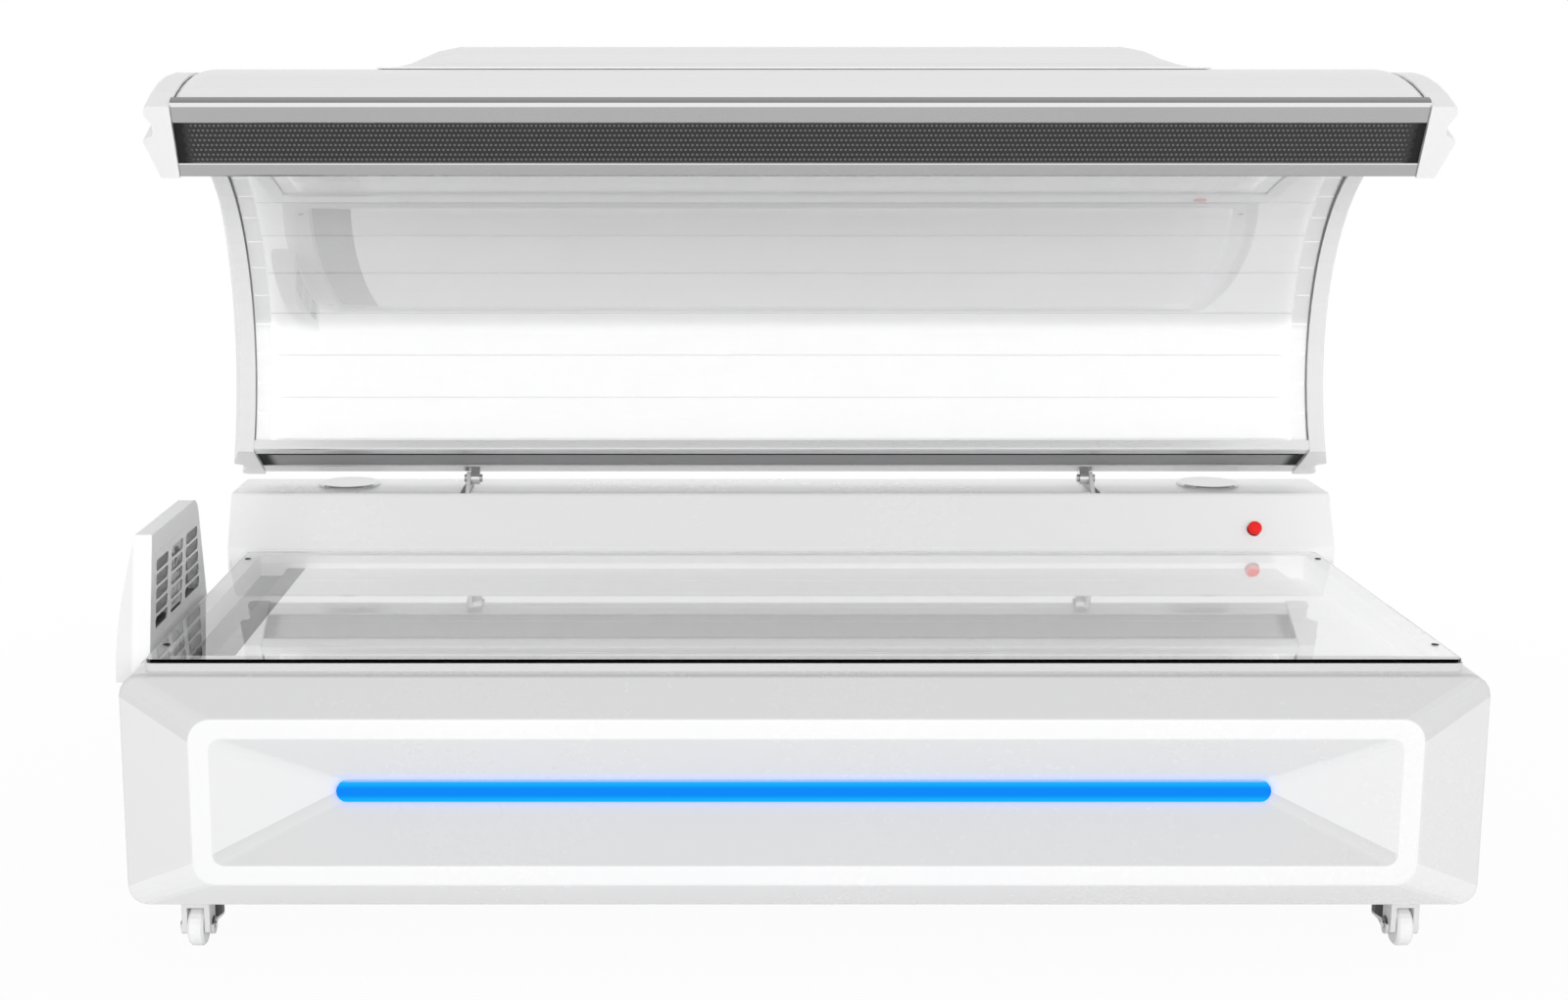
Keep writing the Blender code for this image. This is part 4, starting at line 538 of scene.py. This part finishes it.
def strip_paint(shade):
    """Blue light: cyan along the rim, a deeper blue core."""
    away = abs(shade.along("Z") - STRIP_Z) / STRIP_HALF
    cloud = shade.noise(0.03, 2.0)
    colour = away.rise(0.25, 0.80).blend((0.004, 0.250, 0.930, 1.0), (0.006, 0.440, 0.950, 1.0))
    edge = away.rise(0.86, 1.0).blend(colour, (0.35, 0.55, 1.0, 1.0))
    return {
        "Emission Color": edge,
        "Base Color": cloud.blend((0.001, 0.004, 0.020, 1.0), (0.002, 0.006, 0.026, 1.0)),
        "Roughness": 0.45 + (cloud - 0.5) * 0.1,
    }


def backing_paint(level):
    """Felt behind a mesh sheet, dark at its two ends."""

    def paint(shade):
        ends = abs(shade.along("X") - MIDDLE_X).rise(BAND_DARK_FROM, BAND_DARK_TO)
        fibre = shade.noise(0.0012, 4.0)
        tone = (fibre * 0.7 + 0.15).blend(grey(level * 0.75), grey(level * 1.25))
        return {
            "Base Color": ends.blend(tone, grey(0.010)),
            "Roughness": 0.80 + (fibre - 0.5) * 0.2,
            "Normal": shade.bump(fibre, 0.0003, 0.5),
        }

    return paint


def black_sheet_paint(shade):
    """Powder-coated sheet metal: fine grain in the black."""
    grain = shade.noise(0.0007, 3.0)
    return {
        "Base Color": grain.blend(grey(0.012), grey(0.026)),
        "Roughness": 0.48 + (grain - 0.5) * 0.25,
        "Normal": shade.bump(grain, 0.00008, 0.4),
    }


def tyre_paint(shade):
    grain = shade.noise(0.003, 4.0)
    cloud = shade.noise(0.03, 2.0)
    return {
        "Base Color": (grain * 0.5 + cloud * 0.5).blend(grey(0.93), grey(0.98)),
        "Roughness": 0.50 + (grain - 0.5) * 0.25,
        "Normal": shade.bump(grain, 0.0001, 0.4),
    }


body_white = plastic("body_white", BODY, 0.27)
# Painted light: the rear box's white is painted lighter than the body's
box_white_painted_light = plastic("box_white_painted_light", BOX_PAINTED_LIGHT, 0.27)
canopy_white = plastic("canopy_white", grey(0.89), 0.25)
front_white = new_finish("front_white", {"IOR": PLASTIC_IOR, "Emission Strength": SPILL_PAINTED_GLOW}, front_paint)
inner_grey = plastic("inner_grey", grey(0.30), 0.45)
gland_black = plastic("gland_black", grey(0.020), 0.45)
fan_grey = plastic("fan_grey", grey(0.70), 0.50)
button_red = plastic("button_red", (1.0, 0.009, 0.010, 1.0), 0.50)
vent_white = new_finish("vent_white", {"IOR": PLASTIC_IOR}, vent_paint)
tray_white = new_finish("tray_white", {"IOR": PLASTIC_IOR, "Emission Strength": TRAY_PAINTED_GLOW}, tray_paint)
board_fixed = {"IOR": BOARD_IOR, "Emission Strength": BOARD_PAINTED_GLOW}
board_white = new_finish("board_white", board_fixed, lower_board_paint)
canopy_board_fixed = {"IOR": BOARD_IOR, "Emission Strength": CANOPY_PAINTED_GLOW}
canopy_board = new_finish("canopy_board", canopy_board_fixed, canopy_board_paint)
clear_fixed = {"Transmission Weight": 1.0, "IOR": CLEAR_IOR}
lying_clear = let_lamps_through(new_finish("lying_clear", clear_fixed, clear_paint))
mirror_fixed = {"Transmission Weight": 1.0, "IOR": MIRROR_IOR}
canopy_clear = let_lamps_through(new_finish("canopy_clear", mirror_fixed, canopy_clear_paint))
profile_metal = new_finish("profile_metal", {"Metallic": 1.0}, profile_paint)
# Painted light: the same aluminium as the front profiles, painted much lighter
rear_metal_painted_light = new_finish("rear_metal_painted_light", {"Metallic": 1.0}, brushed_paint(0.84, 0.30))
cover_metal = new_finish("cover_metal", {"Metallic": 1.0}, brushed_paint(0.62, 0.17, (1, 1, 1)))
fitting_steel = new_finish("fitting_steel", {"Metallic": 1.0}, brushed_paint(0.58, 0.30, (1, 1, 1)))
hinge_fixed = {"Metallic": 0.0, "IOR": 1.5}
hinge_steel = new_finish("hinge_steel", hinge_fixed, brushed_paint(0.70, 0.40, (1, 1, 0.05)))
dark_steel = new_finish("dark_steel", {"Metallic": 0.8}, brushed_paint(0.10, 0.45, (1, 1, 1)))
strip_blue = new_finish("strip_blue", {"Emission Strength": 1.0, "Specular IOR Level": 0.0}, strip_paint)
front_felt = new_finish("front_felt", {}, backing_paint(0.20))
rear_felt = new_finish("rear_felt", {}, backing_paint(0.36))
black_sheet = new_finish("black_sheet", {"Metallic": 0.0}, black_sheet_paint)
tyre_grey = new_finish("tyre_grey", {}, tyre_paint)

CASTERS = ["front_left", "front_right", "rear_left", "rear_right"]
WORN_BY = [
    (body_white, ["base_cover", "rear_panel"]),
    (box_white_painted_light, ["rear_box"]),
    (vent_white, ["vent_housing", "vent_grille"]),
    (canopy_white, ["canopy_shell", "canopy_hump", "end_cap_left", "end_cap_right"]),
    (front_white, ["front_panel"]),
    (tray_white, ["led_tray"]),
    (board_white, ["lower_led_panel"]),
    (canopy_board, ["canopy_led_panel", "canopy_side_led_left", "canopy_side_led_right"]),
    (lying_clear, ["lying_sheet"]),
    (canopy_clear, ["canopy_sheet"]),
    (strip_blue, ["light_strip"]),
    (profile_metal, ["front_outer_profile", "front_inner_profile"]),
    (rear_metal_painted_light, ["rear_outer_profile", "rear_inner_profile", "chassis_frame"]),
    (rear_metal_painted_light, ["hinge_lug_left", "hinge_lug_right"]),
    (cover_metal, ["round_cover_left", "round_cover_right", "button_collar"]),
    (hinge_steel, ["hinge_plate_left", "hinge_plate_right"]),
    (fitting_steel, ["hinge_pin_left", "hinge_pin_right"] + [f"caster_{c}_axle" for c in CASTERS]),
    (dark_steel, ["canopy_rib_left", "canopy_rib_right"] + [f"caster_{c}_plate" for c in CASTERS]),
    (inner_grey, ["canopy_driver", "power_supply", "control_box"]),
    (fan_grey, ["vent_fan_frame", "vent_fan_rotor"]),
    (gland_black, ["cable_gland"]),
    (button_red, ["stop_button"]),
    (front_felt, ["front_mesh"]),
    (rear_felt, ["rear_mesh"]),
    (tyre_grey, [f"caster_{c}_wheel" for c in CASTERS]),
]
for c in CASTERS:
    WORN_BY.append((new_finish(f"fork_{c}", {"IOR": PLASTIC_IOR}, fork_paint(c)), [f"caster_{c}_fork"]))
for finish, wearers in WORN_BY:
    for wearer in wearers:
        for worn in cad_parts[wearer].material_slots:
            worn.material = finish


def start_piece(name):
    """The primitive just added becomes a piece and is opened in edit mode."""
    piece = bpy.context.active_object
    piece.name = name
    piece.data.name = name
    bpy.ops.object.mode_set(mode="EDIT")
    bpy.ops.mesh.select_mode(type="VERT")
    return piece


def pick(piece, test):
    """Select the points that pass a test of their place, and what lies between them."""
    edit = bmesh.from_edit_mesh(piece.data)
    for vert in edit.verts:
        vert.select = test(vert.co)
    edit.select_flush(True)
    edit.select_flush(False)
    bmesh.update_edit_mesh(piece.data)


def close_piece(piece, finish, body):
    """Leave edit mode, settle the piece at the origin, give it its finish and its body."""
    bpy.ops.object.mode_set(mode="OBJECT")
    bpy.ops.object.transform_apply(location=True, rotation=True, scale=True)
    bpy.ops.object.shade_smooth_by_angle(angle=SMOOTH_ANGLE)
    piece.data.materials.clear()
    piece.data.materials.append(finish)
    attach(piece, body)


def only(piece):
    bpy.ops.object.select_all(action="DESELECT")
    piece.select_set(True)
    bpy.context.view_layer.objects.active = piece


def repeat(piece, offset, count):
    """Lay copies of a piece in a row and make them one mesh."""
    only(piece)
    row = piece.modifiers.new("Row", "ARRAY")
    row.use_relative_offset = False
    row.use_constant_offset = True
    row.constant_offset_displace = offset
    row.count = count
    bpy.ops.object.modifier_apply(modifier=row.name)


def mesh_sheet(name, angle, outward):
    """Black sheet with staggered round holes, laid on the outer face of a mesh band."""
    bpy.ops.object.select_all(action="DESELECT")
    bpy.ops.mesh.primitive_circle_add(vertices=8, radius=HOLE_RADIUS)
    sheet = start_piece(name)
    bpy.ops.mesh.select_all(action="SELECT")
    bpy.ops.mesh.extrude_region_move(TRANSFORM_OT_translate={"value": (0, 0, -SHEET_METAL)})
    pick(sheet, lambda p: p.z > -SHEET_METAL / 2)
    bpy.ops.mesh.extrude_region_move(TRANSFORM_OT_translate={"value": (0, 0, 0)})
    grow = 1.2
    bpy.ops.transform.resize(value=(grow, grow, 1))
    outer = HOLE_RADIUS * 1.1
    wide = HOLE_PITCH / 2 / (HOLE_RADIUS * grow)
    tall = HOLE_ROW / 2 / (HOLE_RADIUS * grow)
    corner = cos(pi / 4)
    tiny = HOLE_RADIUS * 0.1
    on_rim = lambda p: p.x ** 2 + p.y ** 2 > outer ** 2
    pick(sheet, lambda p: on_rim(p) and abs(p.y) < tiny)
    bpy.ops.transform.resize(value=(wide, 1, 1), center_override=(0, 0, 0))
    pick(sheet, lambda p: on_rim(p) and abs(p.x) < tiny)
    bpy.ops.transform.resize(value=(1, tall, 1), center_override=(0, 0, 0))
    pick(sheet, lambda p: on_rim(p) and abs(p.x) > tiny and abs(p.y) > tiny)
    bpy.ops.transform.resize(value=(wide / corner, tall / corner, 1), center_override=(0, 0, 0))
    bpy.ops.mesh.select_all(action="SELECT")
    bpy.ops.mesh.normals_make_consistent(inside=False)
    bpy.ops.object.mode_set(mode="OBJECT")
    length = mesh_high.x - mesh_low.x - 2 * MESH_END
    count = int(length / HOLE_PITCH - 0.5)
    repeat(sheet, (HOLE_PITCH, 0, 0), count)
    repeat(sheet, (HOLE_PITCH / 2, HOLE_ROW, 0), 2)
    repeat(sheet, (0, 2 * HOLE_ROW, 0), HOLE_ROWS // 2)
    bpy.ops.object.mode_set(mode="EDIT")
    bpy.ops.mesh.select_all(action="SELECT")
    bpy.ops.mesh.remove_doubles(threshold=HOLE_RADIUS * 0.05)
    bpy.ops.object.mode_set(mode="OBJECT")
    # First hole of the first row, measured from the canopy's axis
    span = (count - 0.5) * HOLE_PITCH
    first_row = (MESH_INNER + MESH_OUTER) / 2 - (HOLE_ROWS - 1) * HOLE_ROW / 2
    lift = -MESH_FACE + SHEET_LIFT + SHEET_METAL
    sheet.rotation_euler = (angle, 0, 0) if outward > 0 else (angle, pi, 0)
    start_x = MIDDLE_X - outward * span / 2
    sheet.location = (
        start_x,
        CANOPY_Y + first_row * cos(angle) - outward * lift * sin(angle),
        CANOPY_Z + first_row * sin(angle) + outward * lift * cos(angle),
    )
    close_piece(sheet, black_sheet, "canopy")


def sheet_screw(name, x, y):
    """Low screw cap with a rounded rim and a shallow round recess on top."""
    bpy.ops.object.select_all(action="DESELECT")
    top = sheet_high.z + SCREW_HEIGHT
    bpy.ops.mesh.primitive_cylinder_add(
        vertices=24, radius=SCREW_RADIUS, depth=SCREW_HEIGHT, location=(x, y, top - SCREW_HEIGHT / 2)
    )
    screw = start_piece(name)
    half = SCREW_HEIGHT / 2
    pick(screw, lambda p: p.z > half * 0.9)
    bpy.ops.mesh.bevel(offset=SCREW_HEIGHT * 0.45, segments=3, affect="EDGES")
    pick(screw, lambda p: p.z > half * 0.9)
    bpy.ops.mesh.inset(thickness=SCREW_RADIUS * 0.45)
    bpy.ops.mesh.extrude_region_move(TRANSFORM_OT_translate={"value": (0, 0, -SCREW_HEIGHT * 0.5)})
    close_piece(screw, black_sheet, "base")


def shoulder_filler(name, side):
    """Strip under one end of the rear box, hollow below to follow the base's round shoulder."""
    bpy.ops.object.select_all(action="DESELECT")
    edge = base_high.x if side > 0 else base_low.x
    radius = SHOULDER + FILLER_GAP
    start = box_low.y + 2 * FILLER_GAP
    middle = (edge - side * SHOULDER, start, base_high.z - SHOULDER)
    bpy.ops.mesh.primitive_circle_add(vertices=64, radius=radius, location=middle, rotation=(pi / 2, 0, 0))
    filler = start_piece(name)
    least = radius * sin(radians(5))
    pick(filler, lambda p: p.x * side < least or p.y < least)
    bpy.ops.mesh.delete(type="VERT")
    bpy.ops.mesh.select_all(action="SELECT")
    bpy.ops.mesh.extrude_region_move(TRANSFORM_OT_translate={"value": (0, 0, 0)})
    corner = (edge + side * FILLER_GAP / 2, start, base_high.z + FILLER_GAP / 2)
    bpy.ops.transform.resize(value=(0, 0, 0), center_override=corner)
    bpy.ops.mesh.select_all(action="SELECT")
    bpy.ops.mesh.remove_doubles(threshold=FILLER_GAP / 20)
    bpy.ops.mesh.select_all(action="SELECT")
    depth = box_high.y - box_low.y - 4 * FILLER_GAP
    bpy.ops.mesh.extrude_region_move(TRANSFORM_OT_translate={"value": (0, depth, 0)})
    bpy.ops.mesh.select_all(action="SELECT")
    bpy.ops.mesh.normals_make_consistent(inside=False)
    close_piece(filler, box_white_painted_light, "base")


mesh_sheet("front_mesh_sheet", FRONT_ANGLE, 1)
mesh_sheet("rear_mesh_sheet", REAR_ANGLE, -1)
for end, x in (("left", sheet_low.x + SCREW_INSET), ("right", sheet_high.x - SCREW_INSET)):
    for row, y in (("front", sheet_low.y + SCREW_FRONT), ("rear", sheet_high.y - SCREW_REAR)):
        sheet_screw(f"sheet_screw_{row}_{end}", x, y)
shoulder_filler("shoulder_filler_left", -1)
shoulder_filler("shoulder_filler_right", 1)


def lay_floor():
    """Pale floor that fades into the white behind, and keeps the bed's soft shadow."""
    bpy.ops.object.select_all(action="DESELECT")
    bpy.ops.mesh.primitive_plane_add(size=60, location=(0, 0, 0))
    floor = bpy.context.active_object
    floor.name = "floor"
    material = bpy.data.materials.new("pale_floor")
    material.use_nodes = True
    tree = material.node_tree
    tree.nodes.clear()
    shade = Shade(tree)
    grain = shade.noise(0.4, 3.0)
    matt = shade.node("ShaderNodeBsdfDiffuse", {}, {"Color": grain.blend(grey(0.86), grey(0.90))})
    white = shade.node("ShaderNodeEmission", {}, {"Color": (1, 1, 1, 1), "Strength": 1.0})
    seen = shade.node("ShaderNodeLightPath", output="Is Camera Ray")
    mirrored = shade.node("ShaderNodeLightPath", output="Is Glossy Ray")
    through = shade.node("ShaderNodeLightPath", output="Is Transmission Ray")
    far = shade.node("ShaderNodeVectorMath", {"operation": "LENGTH"}, {0: shade.place()}, "Value")
    fade = FLOOR_WHITE + (1.0 - FLOOR_WHITE) * far.rise(FADE_FROM, FADE_TO)
    share = (seen + mirrored + through).at_most(1.0) * fade
    surface = shade.node("ShaderNodeMixShader", {}, {0: share, 1: matt, 2: white})
    output = tree.nodes.new("ShaderNodeOutputMaterial")
    tree.links.new(surface.socket, output.inputs["Surface"])
    floor.data.materials.append(material)


def light_stage():
    """White room with a wide lamp ahead and one behind."""
    world = bpy.data.worlds.new("white_room")
    bpy.context.scene.world = world
    world.use_nodes = True
    tree = world.node_tree
    tree.nodes.clear()
    shade = Shade(tree)
    toward = shade.node("ShaderNodeTexCoord", output="Generated")
    behind = shade.node("ShaderNodeSeparateXYZ", {}, {"Vector": toward}, "Y")
    above = shade.node("ShaderNodeSeparateXYZ", {}, {"Vector": toward}, "Z")
    seen = shade.node("ShaderNodeLightPath", output="Is Camera Ray")
    mirrored = shade.node("ShaderNodeLightPath", output="Is Glossy Ray")
    through = shade.node("ShaderNodeLightPath", output="Is Transmission Ray")
    plain = (seen + mirrored + through).at_most(1.0)
    ahead = 1.0 - behind.rise(-0.7, 0.4)
    low = 1.0 - above.rise(0.10, 0.75)
    level = low * (ahead * (ROOM_AHEAD - ROOM_BEHIND) + (ROOM_BEHIND - ROOM_ABOVE)) + ROOM_ABOVE
    room = (1.0 - plain) * level
    glow = shade.node("ShaderNodeBackground", {}, {"Color": (1, 1, 1, 1), "Strength": plain + room})
    output = tree.nodes.new("ShaderNodeOutputWorld")
    tree.links.new(glow.socket, output.inputs["Surface"])
    front_turn = (radians(83), 0, 0)
    add_lamp("front_softbox", place=(0.0, -9.0, 1.8), turn=front_turn, length=6.0, width=3.2, power=260)
    rear_turn = (radians(-82), 0, radians(4))
    add_lamp("rear_softbox", place=(0.6, 9.0, 2.0), turn=rear_turn, length=6.0, width=3.6, power=208)


def add_lamp(name, place, turn, length, width, power):
    bpy.ops.object.light_add(type="AREA", location=place, rotation=turn)
    lamp = bpy.context.active_object
    lamp.name = name
    lamp.data.shape = "RECTANGLE"
    lamp.data.size = length
    lamp.data.size_y = width
    lamp.data.energy = power
    lamp.visible_camera = False
    lamp.visible_glossy = False
    lamp.visible_transmission = False


def set_camera():
    """The photograph's view: 50 mm, a little above the canopy's edge, looking down 10.5 degrees."""
    bpy.ops.object.camera_add(location=(-0.174753, -3.907923, 1.397), rotation=(radians(79.5), 0, 0))
    camera = bpy.context.active_object
    camera.name = "view"
    camera.data.lens = 50
    camera.data.sensor_width = 36
    camera.data.sensor_fit = "HORIZONTAL"
    camera.data.shift_x = 0.0625
    bpy.context.scene.camera = camera


lay_floor()
light_stage()
set_camera()
bpy.context.scene.view_settings.view_transform = "Standard"
